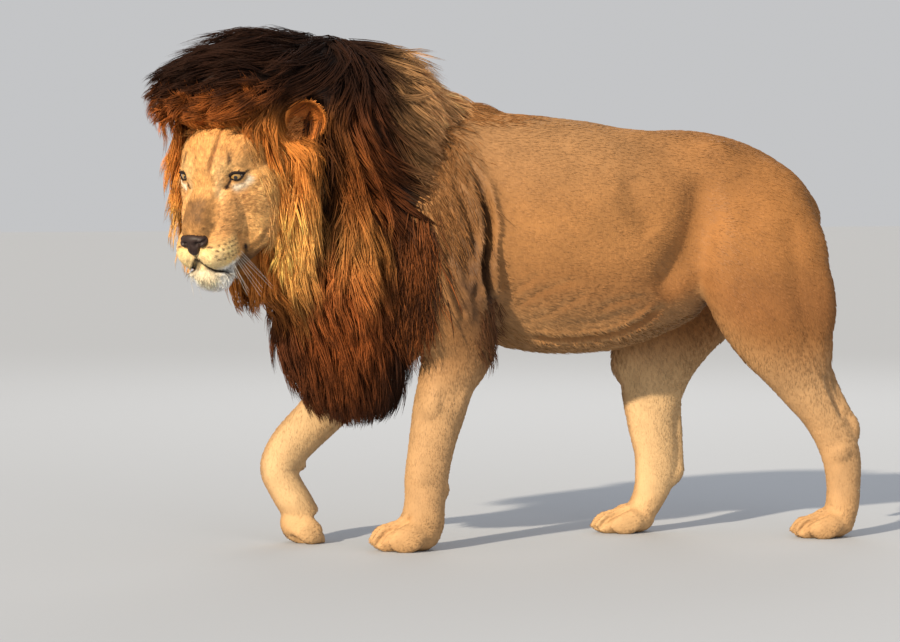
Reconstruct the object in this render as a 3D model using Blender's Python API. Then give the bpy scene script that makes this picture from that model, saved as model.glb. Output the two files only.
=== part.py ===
# A male lion in mid-stride, head turned to its left, as one museum-style model parted into named solids.
# Metres, +Z up. The lion walks towards -X, its left side is -Y, and the floor is Z = 0.
import math

import bmesh
import bpy
from mathutils import Matrix, Vector

# Driving dimensions
croup_height = 1.045
limb_spread = 0.13
head_turn = math.radians(46)
head_pitch = math.radians(22)
eye_middle = Vector((-0.652, -0.255, 0.908))
eye_spacing = 0.134
eyeball_radius = 0.0185
eye_rise = 0.020
cut_gap = 0.0005
voxel_size = 0.0075
body_triangles = 3600
sole_level = 0.003

tan_coat = (0.52, 0.33, 0.155)
pale_coat = (0.60, 0.42, 0.23)
gold_mane = (0.50, 0.25, 0.08)
brown_mane = (0.13, 0.06, 0.028)
nose_skin = (0.16, 0.09, 0.075)
eye_amber = (0.42, 0.24, 0.05)


def clear_scene():
    for old in list(bpy.data.objects):
        bpy.data.objects.remove(old, do_unlink=True)


def make_material(name, color, roughness):
    material = bpy.data.materials.new(name)
    material.use_nodes = True
    shader = material.node_tree.nodes["Principled BSDF"]
    shader.inputs["Base Color"].default_value = (*color, 1)
    shader.inputs["Roughness"].default_value = roughness
    shader.inputs["Metallic"].default_value = 0.0
    material.diffuse_color = (*color, 1)
    return material


# ---- Shape tools ----


def add_mesh(name, points, faces):
    mesh = bpy.data.meshes.new(name)
    mesh.from_pydata([tuple(p) for p in points], [], faces)
    mesh.validate()
    obj = bpy.data.objects.new(name, mesh)
    bpy.context.scene.collection.objects.link(obj)
    return obj


def blend_rows(rows, steps):
    # Catmull-Rom through the rows, so that every column changes smoothly
    out = []
    last = len(rows) - 1
    for i in range(last):
        a, b = rows[max(i - 1, 0)], rows[i]
        c, d = rows[i + 1], rows[min(i + 2, last)]
        for k in range(steps):
            t = k / steps
            out.append(
                [
                    0.5 * (2 * q + (r - p) * t + (2 * p - 5 * q + 4 * r - s) * t**2 + (3 * q - p - 3 * r + s) * t**3)
                    for p, q, r, s in zip(a, b, c, d)
                ]
            )
    out.append(list(rows[last]))
    return out


def tube(rows, side=(0, 1, 0), steps=4, sides=20, square=2.0):
    # Rows are x, y, z, half depth in the limb's own plane, half width along `side`
    rows = blend_rows(rows, steps)
    centers = [Vector(r[:3]) for r in rows]
    points, faces = [], []
    for i, row in enumerate(rows):
        tangent = (centers[min(i + 1, len(rows) - 1)] - centers[max(i - 1, 0)]).normalized()
        across = Vector(side)
        across = (across - tangent * across.dot(tangent)).normalized()
        upward = tangent.cross(across)
        for k in range(sides):
            angle = 2 * math.pi * k / sides
            c, s = math.cos(angle), math.sin(angle)
            wide = math.copysign(abs(c) ** (2 / square), c) * max(row[4], 0.002)
            deep = math.copysign(abs(s) ** (2 / square), s) * max(row[3], 0.002)
            points.append(centers[i] + across * wide + upward * deep)
    for i in range(len(rows) - 1):
        for k in range(sides):
            a, b = i * sides + k, i * sides + (k + 1) % sides
            faces.append((a, b, b + sides, a + sides))
    faces.append(tuple(range(sides))[::-1])
    end = (len(rows) - 1) * sides
    faces.append(tuple(end + k for k in range(sides)))
    return add_mesh("tube", points, faces)


def blob(center, radii, frame=None, turn=(0, 0, 0), detail=3):
    # An ellipsoid, placed in `frame` where one is given
    mesh = bpy.data.meshes.new("blob")
    shape = bmesh.new()
    bmesh.ops.create_icosphere(shape, subdivisions=detail, radius=1)
    place = Matrix.Translation(center)
    for angle, axis in zip(turn, "XYZ"):
        place = place @ Matrix.Rotation(math.radians(angle), 4, axis)
    place = place @ Matrix.Diagonal((*radii, 1))
    shape.transform((frame or Matrix()) @ place)
    shape.to_mesh(mesh)
    shape.free()
    obj = bpy.data.objects.new("blob", mesh)
    bpy.context.scene.collection.objects.link(obj)
    return obj


def head_frame():
    # Columns are the head's forward, left and up axes; the origin is midway between the eyes
    heading = Vector((-math.cos(head_turn), -math.sin(head_turn), 0))
    forward = heading * math.cos(head_pitch) - Vector((0, 0, math.sin(head_pitch)))
    left = Vector((0, 0, 1)).cross(heading)
    up = forward.cross(left)
    frame = Matrix((forward, left, up)).transposed().to_4x4()
    frame.translation = eye_middle
    return frame


# ---- Trunk ----


def trunk():
    # Rows are x, top, bottom, half width
    outline = [
        (-0.29, 0.93, 0.74, 0.075),
        (-0.23, 0.99, 0.61, 0.135),
        (-0.12, 1.045, 0.535, 0.180),
        (0.00, 1.085, 0.505, 0.203),
        (0.12, 1.085, 0.500, 0.218),
        (0.26, 1.072, 0.474, 0.226),
        (0.40, 1.058, 0.478, 0.218),
        (0.52, 1.050, 0.520, 0.192),
        (0.62, croup_height, 0.575, 0.168),
        (0.72, 1.020, 0.600, 0.168),
        (0.82, 0.966, 0.610, 0.165),
        (0.89, 0.900, 0.625, 0.135),
        (0.935, 0.830, 0.650, 0.085),
        (0.952, 0.770, 0.700, 0.030),
    ]
    rows = []
    for x, top, bottom, half_width in outline:
        rows.append((x, 0, (top + bottom) / 2, (top - bottom) / 2, half_width))
    return [
        tube(rows, square=2.15, sides=28),
        # withers and the crest of the shoulder blades
        blob((0.035, 0, 1.03), (0.13, 0.075, 0.082)),
        # rump muscles beside the tail root
        blob((0.79, -0.075, 0.80), (0.155, 0.095, 0.17)),
        blob((0.79, 0.075, 0.80), (0.155, 0.095, 0.17)),
    ]


def tail():
    base = [
        (0.86, 0.0, 0.895, 0.045, 0.045),
        (0.918, 0.01, 0.835, 0.034, 0.034),
        (0.946, 0.03, 0.74, 0.027, 0.027),
        (0.958, 0.05, 0.62, 0.023, 0.023),
        (0.966, 0.065, 0.49, 0.021, 0.021),
        (0.986, 0.075, 0.38, 0.020, 0.020),
        (1.006, 0.08, 0.31, 0.022, 0.022),
        (1.022, 0.08, 0.25, 0.036, 0.036),
        (1.034, 0.08, 0.19, 0.038, 0.038),
        (1.042, 0.08, 0.14, 0.024, 0.024),
        (1.045, 0.08, 0.115, 0.005, 0.005),
    ]
    return [tube(base, sides=12)]


# ---- Limbs ----


def toes(frame, width, length, height):
    # Four toes side by side in front of the pad, in a frame whose X points forward and Z up
    pieces = [blob((-0.005, 0, height * 0.50), (length * 0.47, width * 0.47, height * 0.62), frame)]
    for i, reach in enumerate((0.70, 0.86, 0.84, 0.66)):
        across = (i - 1.5) * width * 0.255
        toe = (length * 0.23, width * 0.148, height * 0.44)
        pieces.append(blob((length * (reach - 0.42), across, height * 0.40), toe, frame, turn=(0, 6, 0)))
    return pieces


def paw_frame(x, y, z, heading=180, pitch=0):
    turn = Matrix.Rotation(math.radians(heading), 4, "Z") @ Matrix.Rotation(math.radians(pitch), 4, "Y")
    return Matrix.Translation((x, y, z)) @ turn


def left_foreleg():
    y = -limb_spread
    rows = [
        (0.045, y + 0.05, 1.035, 0.060, 0.030),
        (0.010, y + 0.005, 0.96, 0.125, 0.055),
        (-0.035, y - 0.035, 0.85, 0.150, 0.062),
        (-0.085, y - 0.045, 0.72, 0.155, 0.075),
        (-0.060, y - 0.040, 0.60, 0.140, 0.078),
        (-0.020, y - 0.022, 0.505, 0.105, 0.068),
        (-0.045, y - 0.008, 0.42, 0.078, 0.062),
        (-0.064, y, 0.34, 0.071, 0.060),
        (-0.082, y, 0.26, 0.063, 0.054),
        (-0.095, y, 0.18, 0.060, 0.053),
        (-0.099, y, 0.12, 0.056, 0.055),
        (-0.105, y, 0.07, 0.060, 0.058),
        (-0.108, y, 0.03, 0.050, 0.050),
    ]
    return [
        tube(rows),
        blob((0.035, y - 0.02, 0.49), (0.045, 0.036, 0.055)),
        blob((-0.045, y - 0.005, 0.155), (0.022, 0.03, 0.03)),
        *toes(paw_frame(-0.112, y, 0.004, heading=176), 0.135, 0.18, 0.085),
    ]


def right_foreleg():
    y = limb_spread - 0.03
    rows = [
        (0.045, y - 0.02, 1.035, 0.060, 0.030),
        (0.000, y + 0.025, 0.96, 0.125, 0.055),
        (-0.060, y + 0.065, 0.85, 0.150, 0.062),
        (-0.120, y + 0.075, 0.72, 0.155, 0.072),
        (-0.120, y + 0.070, 0.60, 0.140, 0.074),
        (-0.125, y + 0.050, 0.52, 0.105, 0.066),
        (-0.185, y + 0.025, 0.45, 0.080, 0.060),
        (-0.250, y + 0.010, 0.385, 0.072, 0.057),
        (-0.320, y, 0.315, 0.064, 0.053),
        (-0.385, y, 0.250, 0.060, 0.051),
        (-0.418, y, 0.195, 0.052, 0.050),
        (-0.402, y, 0.150, 0.047, 0.051),
        (-0.375, y, 0.105, 0.044, 0.055),
        (-0.345, y, 0.060, 0.038, 0.050),
    ]
    return [
        tube(rows),
        blob((-0.412, y, 0.218), (0.046, 0.048, 0.042)),
        blob((-0.07, y + 0.045, 0.50), (0.045, 0.036, 0.055)),
        *toes(paw_frame(-0.337, y, 0.078, heading=182, pitch=120), 0.125, 0.145, 0.078),
    ]


def left_hindleg():
    y = -limb_spread
    rows = [
        (0.760, y + 0.055, 0.93, 0.100, 0.050),
        (0.765, y + 0.015, 0.84, 0.155, 0.070),
        (0.772, y - 0.010, 0.74, 0.178, 0.085),
        (0.792, y - 0.015, 0.64, 0.172, 0.087),
        (0.830, y - 0.012, 0.545, 0.148, 0.080),
        (0.868, y - 0.005, 0.46, 0.112, 0.068),
        (0.905, y, 0.385, 0.082, 0.056),
        (0.945, y, 0.325, 0.068, 0.048),
        (0.980, y, 0.265, 0.066, 0.043),
        (0.998, y, 0.205, 0.058, 0.042),
        (1.002, y, 0.14, 0.050, 0.043),
        (0.998, y, 0.08, 0.048, 0.048),
        (0.985, y, 0.03, 0.045, 0.050),
    ]
    return [
        tube(rows),
        blob((1.022, y, 0.288), (0.027, 0.025, 0.048), turn=(0, -12, 0)),
        blob((0.735, y - 0.01, 0.545), (0.055, 0.055, 0.085), turn=(0, -35, 0)),
        *toes(paw_frame(0.978, y, 0.004, heading=178), 0.118, 0.165, 0.072),
    ]


def right_hindleg():
    y = limb_spread - 0.02
    rows = [
        (0.760, y - 0.040, 0.93, 0.100, 0.050),
        (0.755, y + 0.005, 0.84, 0.155, 0.070),
        (0.735, y + 0.030, 0.74, 0.180, 0.085),
        (0.680, y + 0.035, 0.63, 0.175, 0.085),
        (0.625, y + 0.030, 0.53, 0.140, 0.076),
        (0.588, y + 0.020, 0.44, 0.110, 0.066),
        (0.572, y + 0.010, 0.36, 0.090, 0.057),
        (0.573, y + 0.005, 0.28, 0.076, 0.049),
        (0.582, y, 0.21, 0.068, 0.044),
        (0.578, y, 0.15, 0.062, 0.042),
        (0.563, y, 0.100, 0.050, 0.043),
        (0.545, y, 0.065, 0.044, 0.048),
        (0.530, y, 0.035, 0.036, 0.050),
    ]
    return [
        tube(rows),
        blob((0.625, y, 0.145), (0.030, 0.030, 0.045), turn=(0, 35, 0)),
        blob((0.515, y + 0.02, 0.46), (0.055, 0.055, 0.085), turn=(0, 8, 0)),
        *toes(paw_frame(0.525, y, 0.004, heading=182), 0.118, 0.17, 0.072),
    ]


# ---- Head, ears and mane ----


def skull(frame):
    pieces = [
        blob((-0.105, 0, 0.012), (0.150, 0.112, 0.118), frame),
        blob((-0.052, 0, 0.056), (0.075, 0.085, 0.068), frame, turn=(0, -25, 0)),
        # nose bridge and muzzle
        blob((0.046, 0, -0.038), (0.110, 0.043, 0.052), frame, turn=(0, 29, 0)),
        blob((0.056, 0, -0.108), (0.078, 0.060, 0.060), frame, turn=(0, 10, 0)),
        blob((0.112, 0, -0.097), (0.026, 0.040, 0.026), frame),
        # chin and jaw
        blob((0.058, 0, -0.190), (0.052, 0.044, 0.050), frame),
        blob((-0.030, 0, -0.150), (0.110, 0.072, 0.062), frame, turn=(0, 14, 0)),
    ]
    for side in (1, -1):
        pieces += [
            blob((0.088, side * 0.034, -0.122), (0.056, 0.042, 0.044), frame),
            blob((-0.085, side * 0.070, -0.050), (0.105, 0.066, 0.096), frame, turn=(0, 12, 0)),
            blob((-0.050, side * 0.080, -0.006), (0.070, 0.038, 0.032), frame, turn=(0, 10, side * -28)),
            blob((-0.020, side * 0.055, 0.046), (0.046, 0.032, 0.022), frame, turn=(0, 0, side * -25)),
        ]
    return pieces


def ear_place(frame, side):
    # A rounded cup opening forward and outward
    place = frame @ Matrix.Translation((-0.200, side * 0.165, 0.080))
    place = place @ Matrix.Rotation(math.radians(side * 24), 4, "Z") @ Matrix.Rotation(math.radians(-6), 4, "Y")
    return place


def mane(frame):
    return [
        # ruff around the face, and the forelock that sweeps over the brow
        blob((-0.185, 0, 0.000), (0.150, 0.225, 0.225), frame),
        blob((-0.128, 0, 0.130), (0.125, 0.145, 0.085), frame, turn=(0, -18, 0)),
        blob((-0.128, -0.010, 0.172), (0.150, 0.165, 0.125), frame, turn=(0, -30, 0)),
        blob((-0.055, -0.060, 0.205), (0.105, 0.100, 0.068), frame, turn=(0, -35, 0)),
        blob((-0.120, 0.125, -0.140), (0.085, 0.095, 0.150), frame),
        blob((-0.120, -0.120, -0.130), (0.080, 0.080, 0.150), frame),
        blob((-0.085, 0, -0.235), (0.105, 0.110, 0.100), frame),
        # crest, neck and throat
        blob((-0.41, -0.11, 1.03), (0.26, 0.21, 0.275)),
        blob((-0.28, -0.06, 1.01), (0.26, 0.22, 0.25), turn=(0, 10, 0)),
        blob((-0.13, -0.01, 1.01), (0.20, 0.185, 0.175), turn=(0, 14, 0)),
        blob((-0.31, -0.09, 0.74), (0.20, 0.21, 0.26)),
        # shoulder cape and chest tassel
        blob((-0.16, -0.10, 0.82), (0.155, 0.155, 0.25)),
        blob((-0.16, 0.06, 0.82), (0.155, 0.185, 0.24)),
        blob((-0.285, -0.06, 0.56), (0.195, 0.15, 0.20)),
        blob((-0.265, -0.065, 0.44), (0.160, 0.100, 0.12)),
    ]


def ear_hollow(frame, side):
    # The mane leaves the front of each ear open
    center = (-0.092, side * 0.225, 0.082)
    return blob(center, (0.130, 0.082, 0.076), frame, turn=(0, -4, side * 22))


def join_and_fuse(pieces):
    bpy.ops.object.select_all(action="DESELECT")
    for piece in pieces:
        piece.select_set(True)
    bpy.context.view_layer.objects.active = pieces[0]
    bpy.ops.object.join()
    body = bpy.context.active_object
    body.name = "lion"
    fuse = body.modifiers.new("fuse", "REMESH")
    fuse.mode = "VOXEL"
    fuse.voxel_size = voxel_size
    bpy.ops.object.modifier_apply(modifier=fuse.name)
    soften = body.modifiers.new("soften", "SMOOTH")
    soften.factor = 0.5
    soften.iterations = 7
    bpy.ops.object.modifier_apply(modifier=soften.name)
    return body


def level_soles(body):
    # The planted soles end on one level, which becomes the floor
    box = box_region((-2, -2, -0.5), (2, 2, sole_level))
    cut(body, box, "DIFFERENCE")
    bpy.data.objects.remove(box)


def thin_out(body, frame):
    # Fewer triangles, with the face kept finer than the trunk
    group = body.vertex_groups.new(name="coarse")
    inverse = frame.inverted()
    for vertex in body.data.vertices:
        local = inverse @ vertex.co
        face = local.x > -0.06 and abs(local.y) < 0.12 and -0.25 < local.z < 0.08
        paw = vertex.co.z < 0.12
        group.add([vertex.index], 0.25 if face else 0.5 if paw else 1.0, "REPLACE")
    thin = body.modifiers.new("thin", "DECIMATE")
    body.data.calc_loop_triangles()
    thin.ratio = body_triangles / len(body.data.loop_triangles)
    thin.vertex_group = group.name
    thin.vertex_group_factor = 0.03
    bpy.ops.object.modifier_apply(modifier=thin.name)
    body.vertex_groups.clear()


# ---- Parting ----


def box_region(low, high, frame=None):
    corners = [(x, y, z) for x in (low[0], high[0]) for y in (low[1], high[1]) for z in (low[2], high[2])]
    faces = [(0, 1, 3, 2), (4, 6, 7, 5), (0, 4, 5, 1), (2, 3, 7, 6), (0, 2, 6, 4), (1, 5, 7, 3)]
    box = add_mesh("box", corners, faces)
    box.data.transform(frame or Matrix())
    return box


def prism_region(profile, low, high, axis):
    # A closed outline across two axes, carried along the third
    points = []
    for along in (low, high):
        for a, b in profile:
            points.append((along, a, b) if axis == "X" else (a, along, b))
    count = len(profile)
    faces = [tuple(range(count)), tuple(range(2 * count - 1, count - 1, -1))]
    for k in range(count):
        n = (k + 1) % count
        faces.append((n, k, k + count, n + count))
    prism = add_mesh("prism", points, faces)
    face_outward(prism)
    return prism


def face_outward(obj):
    shape = bmesh.new()
    shape.from_mesh(obj.data)
    bmesh.ops.recalc_face_normals(shape, faces=shape.faces)
    shape.to_mesh(obj.data)
    shape.free()


def grown(region, gap):
    # Each face moves out by the gap
    wide = region.copy()
    wide.data = region.data.copy()
    bpy.context.scene.collection.objects.link(wide)
    shape = bmesh.new()
    shape.from_mesh(wide.data)
    shape.normal_update()
    moves = []
    for vertex in shape.verts:
        normals = [face.normal for face in vertex.link_faces]
        middle = sum(normals, Vector()).normalized()
        moves.append(middle * gap / max(0.35, min(middle.dot(n) for n in normals)))
    for vertex, move in zip(shape.verts, moves):
        vertex.co += move
    shape.to_mesh(wide.data)
    shape.free()
    return wide


def cut(obj, region, operation):
    bpy.ops.object.select_all(action="DESELECT")
    obj.select_set(True)
    bpy.context.view_layer.objects.active = obj
    modifier = obj.modifiers.new("cut", "BOOLEAN")
    modifier.operation = operation
    modifier.solver = "MANIFOLD"
    modifier.object = region
    bpy.ops.object.modifier_apply(modifier=modifier.name)
    keep_largest(obj)


def keep_largest(obj):
    # Crumbs left by a cut are dropped
    shape = bmesh.new()
    shape.from_mesh(obj.data)
    left = set(shape.verts)
    islands = []
    while left:
        stack = [left.pop()]
        island = set(stack)
        while stack:
            for edge in stack.pop().link_edges:
                for other in edge.verts:
                    if other in left:
                        left.discard(other)
                        island.add(other)
                        stack.append(other)
        islands.append(island)
    islands.sort(key=len)
    crumbs = [v for island in islands[:-1] for v in island]
    bmesh.ops.delete(shape, geom=crumbs, context="VERTS")
    shape.to_mesh(obj.data)
    shape.free()


def part_off(body, name, region, material):
    # What lies in the region becomes its own node, a thin gap away from the rest
    piece = body.copy()
    piece.data = body.data.copy()
    piece.name = name
    bpy.context.scene.collection.objects.link(piece)
    cut(piece, region, "INTERSECT")
    wide = grown(region, cut_gap)
    cut(body, wide, "DIFFERENCE")
    finish(piece, name, material)
    bpy.data.objects.remove(wide)
    bpy.data.objects.remove(region)
    return piece


def finish(piece, name, material):
    piece.name = name
    piece.data.name = name
    piece.data.materials.clear()
    piece.data.materials.append(material)


def cup_region(frame):
    # Round behind the skull and straight-sided forward, so that the face comes out whole
    rows = []
    for k in range(5):
        angle = math.pi / 2 * k / 4
        reach = math.sin(angle)
        rows.append((-0.10 - 0.17 * math.cos(angle), 0, -0.060, 0.200 * reach, 0.160 * reach))
    rows.append((0.22, 0, -0.060, 0.205, 0.165))
    cup = tube(rows, steps=1, sides=14)
    cup.data.transform(frame)
    face_outward(cup)
    return cup


def both(first, second):
    cut(first, second, "INTERSECT")
    bpy.data.objects.remove(second)
    return first


def side_view(outline, y_low, y_high):
    return prism_region(outline, y_low, y_high, "Y")


def front_view(outline, x_low, x_high):
    return prism_region(outline, x_low, x_high, "X")


def side_box(side, x_low, x_high, inner, z_low, z_high):
    # A block on one side of the body, from its inner face outward
    y_low, y_high = sorted((side * inner, side * 0.40))
    return box_region((x_low, y_low, z_low), (x_high, y_high, z_high))


def limb_root(side, outline, low, belly, top):
    # The part of a limb that lies against the trunk: its outline from the side, and no deeper than its own thickness
    profile = [(0.03, low), (0.03, belly), (0.108, belly + 0.07), (0.108, top), (0.40, top), (0.40, low)]
    across = front_view([(side * y, z) for y, z in profile], -0.6, 1.3)
    return both(side_view(outline, -0.5, 0.5), across)


def part_limbs(body, coat, pale):
    part_off(body, "forepaw_left", side_box(-1, -0.26, 0.02, 0.0, -0.1, 0.125), pale)
    part_off(body, "forepaw_right", side_box(1, -0.48, -0.24, 0.0, -0.1, 0.165), pale)
    part_off(body, "forearm_left", side_box(-1, -0.16, 0.12, 0.03, 0.125, 0.455), pale)
    part_off(body, "forearm_right", side_box(1, -0.52, -0.02, 0.035, 0.160, 0.450), pale)
    left_shoulder = [(-0.20, 0.45), (0.12, 0.45), (0.14, 0.60), (0.15, 0.80), (0.12, 1.00)]
    left_shoulder += [(0.00, 1.04), (-0.085, 0.95), (-0.085, 0.70), (-0.20, 0.62)]
    right_shoulder = [(x - 0.02 - 0.04 * (z < 0.65), z) for x, z in left_shoulder]
    part_off(body, "upper_foreleg_left", limb_root(-1, left_shoulder, 0.45, 0.495, 1.01), coat)
    part_off(body, "upper_foreleg_right", limb_root(1, right_shoulder, 0.445, 0.495, 1.01), coat)

    part_off(body, "hind_paw_left", side_box(-1, 0.82, 1.12, 0.0, -0.1, 0.085), pale)
    right_paw = [(0.38, -0.1), (0.66, -0.1), (0.64, 0.02), (0.50, 0.135), (0.38, 0.135)]
    part_off(body, "hind_paw_right", side_view(right_paw, 0.0, 0.35), pale)
    part_off(body, "metatarsus_left", side_box(-1, 0.82, 1.12, 0.03, 0.085, 0.255), pale)
    part_off(body, "metatarsus_right", side_box(1, 0.40, 0.76, 0.03, 0.0, 0.195), pale)
    part_off(body, "shank_left", side_box(-1, 0.64, 1.12, 0.03, 0.255, 0.455), pale)
    part_off(body, "shank_right", side_box(1, 0.40, 0.76, 0.03, 0.195, 0.440), pale)
    left_thigh = [(0.66, 0.44), (1.02, 0.44), (1.02, 0.90), (0.88, 0.96), (0.68, 0.93), (0.61, 0.62)]
    right_thigh = [(0.42, 0.43), (0.76, 0.43), (0.97, 0.66), (0.98, 0.90), (0.86, 0.96), (0.66, 0.93), (0.50, 0.64)]
    part_off(body, "thigh_left", limb_root(-1, left_thigh, 0.44, 0.575, 0.955), coat)
    part_off(body, "thigh_right", limb_root(1, right_thigh, 0.43, 0.545, 0.955), coat)


def part_tail(body, coat, dark):
    part_off(body, "tail_tuft", box_region((0.93, -0.035, 0.0), (1.20, 0.16, 0.305)), dark)
    part_off(body, "tail", box_region((0.915, -0.035, 0.30), (1.20, 0.13, 0.70)), coat)


def part_head(body, frame, coat, leather, amber):
    nose = blob((0.134, 0, -0.096), (0.030, 0.042, 0.032), frame, detail=2)
    part_off(body, "nose", nose, leather)
    head = part_off(body, "head", cup_region(frame), coat)
    jaw = box_region((-0.40, -0.30, -0.40), (0.40, 0.30, -0.166), frame)
    part_off(head, "lower_jaw", jaw, coat)
    for name, side in (("left", 1), ("right", -1)):
        center = frame @ Vector((-0.012, side * eye_spacing / 2, eye_rise))
        eye = blob(center, (eyeball_radius,) * 3, detail=2)
        socket = grown(eye, cut_gap)
        cut(head, socket, "DIFFERENCE")
        bpy.data.objects.remove(socket)
        finish(eye, "eye_" + name, amber)


def make_ear(body, frame, side, name, coat):
    place = ear_place(frame, side)
    shape = blob((0, 0, 0), (0.020, 0.052, 0.056), place, detail=2)
    pocket = grown(shape, cut_gap)
    cut(body, pocket, "DIFFERENCE")
    bpy.data.objects.remove(pocket)
    scoop = blob((0.030, 0, 0.004), (0.032, 0.038, 0.042), place, detail=2)
    cut(shape, scoop, "DIFFERENCE")
    bpy.data.objects.remove(scoop)
    finish(shape, name, coat)


def part_mane(body, frame, gold, dark):
    crown = box_region((-0.27, -0.50, -0.27), (0.40, 0.50, 0.60), frame)
    part_off(body, "mane_crown", crown, gold)
    part_off(body, "mane_chest", box_region((-0.70, -0.50, 0.20), (-0.09, 0.50, 0.64)), dark)
    part_off(body, "mane_neck", box_region((-0.90, -0.50, 0.50), (-0.09, 0.50, 1.50)), dark)


def build():
    clear_scene()
    coat = make_material("tan_coat", tan_coat, 0.85)
    pale = make_material("pale_coat", pale_coat, 0.85)
    dark = make_material("brown_mane", brown_mane, 0.8)
    gold = make_material("gold_mane", gold_mane, 0.8)
    leather = make_material("nose_skin", nose_skin, 0.5)
    amber = make_material("eye", eye_amber, 0.08)
    frame = head_frame()

    pieces = trunk() + tail() + skull(frame) + mane(frame)
    pieces += left_foreleg() + right_foreleg() + left_hindleg() + right_hindleg()
    body = join_and_fuse(pieces)
    for side in (1, -1):
        hollow = ear_hollow(frame, side)
        cut(body, hollow, "DIFFERENCE")
        bpy.data.objects.remove(hollow)
    thin_out(body, frame)
    level_soles(body)

    part_limbs(body, coat, pale)
    part_tail(body, coat, dark)
    part_head(body, frame, coat, leather, amber)
    make_ear(body, frame, 1, "ear_left", coat)
    make_ear(body, frame, -1, "ear_right", coat)
    part_mane(body, frame, gold, dark)
    part_off(body, "chest", box_region((-0.20, -0.50, 0.30), (0.32, 0.50, 1.30)), coat)
    part_off(body, "abdomen", box_region((0.20, -0.50, 0.30), (0.615, 0.50, 1.30)), coat)
    finish(body, "rump", coat)
    return center_on_origin()


def center_on_origin():
    # The middle of the whole model's footprint comes over the origin, and its soles onto the floor
    solids = [obj for obj in bpy.data.objects if obj.type == "MESH"]
    corners = [obj.matrix_world @ v.co for obj in solids for v in obj.data.vertices]
    xs = [c.x for c in corners]
    ys = [c.y for c in corners]
    shift = Vector((-(min(xs) + max(xs)) / 2, -(min(ys) + max(ys)) / 2, -sole_level))
    for obj in solids:
        obj.data.transform(Matrix.Translation(shift))
    return shift


shift = build()
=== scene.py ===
import math

import bpy
import numpy as np
from mathutils import Matrix, Vector
from mathutils.bvhtree import BVHTree


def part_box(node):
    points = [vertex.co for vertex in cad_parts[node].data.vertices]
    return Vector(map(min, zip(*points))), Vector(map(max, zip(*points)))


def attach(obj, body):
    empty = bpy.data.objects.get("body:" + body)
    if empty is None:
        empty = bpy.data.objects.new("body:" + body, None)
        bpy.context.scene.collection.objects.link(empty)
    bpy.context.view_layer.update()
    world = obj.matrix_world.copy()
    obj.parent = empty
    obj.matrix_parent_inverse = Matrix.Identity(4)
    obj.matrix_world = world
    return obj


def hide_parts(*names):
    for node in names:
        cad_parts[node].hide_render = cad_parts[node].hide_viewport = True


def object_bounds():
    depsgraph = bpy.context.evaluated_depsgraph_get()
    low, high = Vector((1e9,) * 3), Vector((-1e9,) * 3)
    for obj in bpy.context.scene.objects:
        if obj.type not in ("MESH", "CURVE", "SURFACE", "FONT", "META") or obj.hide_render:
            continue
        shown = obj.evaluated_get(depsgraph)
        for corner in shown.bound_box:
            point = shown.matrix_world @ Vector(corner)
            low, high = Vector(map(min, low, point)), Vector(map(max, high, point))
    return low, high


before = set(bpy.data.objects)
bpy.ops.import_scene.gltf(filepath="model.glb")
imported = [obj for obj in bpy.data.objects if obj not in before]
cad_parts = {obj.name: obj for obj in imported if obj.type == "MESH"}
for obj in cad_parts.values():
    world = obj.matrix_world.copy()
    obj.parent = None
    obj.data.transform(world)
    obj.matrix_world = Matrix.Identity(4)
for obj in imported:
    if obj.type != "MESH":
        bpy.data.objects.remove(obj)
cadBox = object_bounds()
rng = np.random.default_rng(7)

# The lion walks towards -X with its left side at -Y. Body places are x, y and z from the point on the
# floor under its withers. Head places are forward, to its left and up from midway between its eyes.
pose = {
    "headPitch": math.radians(22),
    "eyeDepth": 0.012,
    "eyeRise": 0.020,
    "eyeMiddle": (-0.652, -0.255, 0.908),
    "limbSpread": 0.13,
    "coatDepth": 0.006,
    "soleHeight": 0.0005,
}


def boxMiddle(node):
    low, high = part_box(node)
    return (Vector(low) + Vector(high)) / 2


def findHead():
    left, right = boxMiddle("eye_left"), boxMiddle("eye_right")
    across = (left - right).normalized()
    heading = across.cross(Vector((0, 0, 1)))
    forward = heading * math.cos(pose["headPitch"]) - Vector((0, 0, math.sin(pose["headPitch"])))
    up = forward.cross(across)
    place = Matrix((forward, across, up)).transposed().to_4x4()
    place.translation = (left + right) / 2 + forward * pose["eyeDepth"] - up * pose["eyeRise"]
    return place


head = findHead()
headInverse = head.inverted()
home = head.translation - Vector(pose["eyeMiddle"])
atHome = Matrix.Translation(home)
homeSpot, headTurn = np.array(home), np.array(head)[:3, :3]
print("stage: frame read")


# Shape tools


def addObject(name, data):
    obj = bpy.data.objects.new(name, data)
    bpy.context.scene.collection.objects.link(obj)
    return obj


def addMesh(name, points, faces):
    mesh = bpy.data.meshes.new(name)
    mesh.from_pydata([tuple(p) for p in points], [], faces)
    return addObject(name, mesh)


def blendRows(rows, steps):
    # A smooth curve through the rows
    out = []
    last = len(rows) - 1
    for i in range(last):
        a, b, c, d = (np.array(rows[max(0, min(last, i + k))], float) for k in (-1, 0, 1, 2))
        slope, bend, twist = c - a, 2 * a - 5 * b + 4 * c - d, 3 * b - a - 3 * c + d
        out += [0.5 * (2 * b + slope * t + bend * t**2 + twist * t**3) for t in np.arange(steps) / steps]
    out.append(np.array(rows[last], float))
    return out


def ringFaces(count, around, base=0):
    # Faces between each ring of points and the next
    faces = []
    for i in range(count):
        for k in range(around):
            a, b = base + i * around + k, base + i * around + (k + 1) % around
            faces.append((a, b, b + around, a + around))
    return faces


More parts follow.
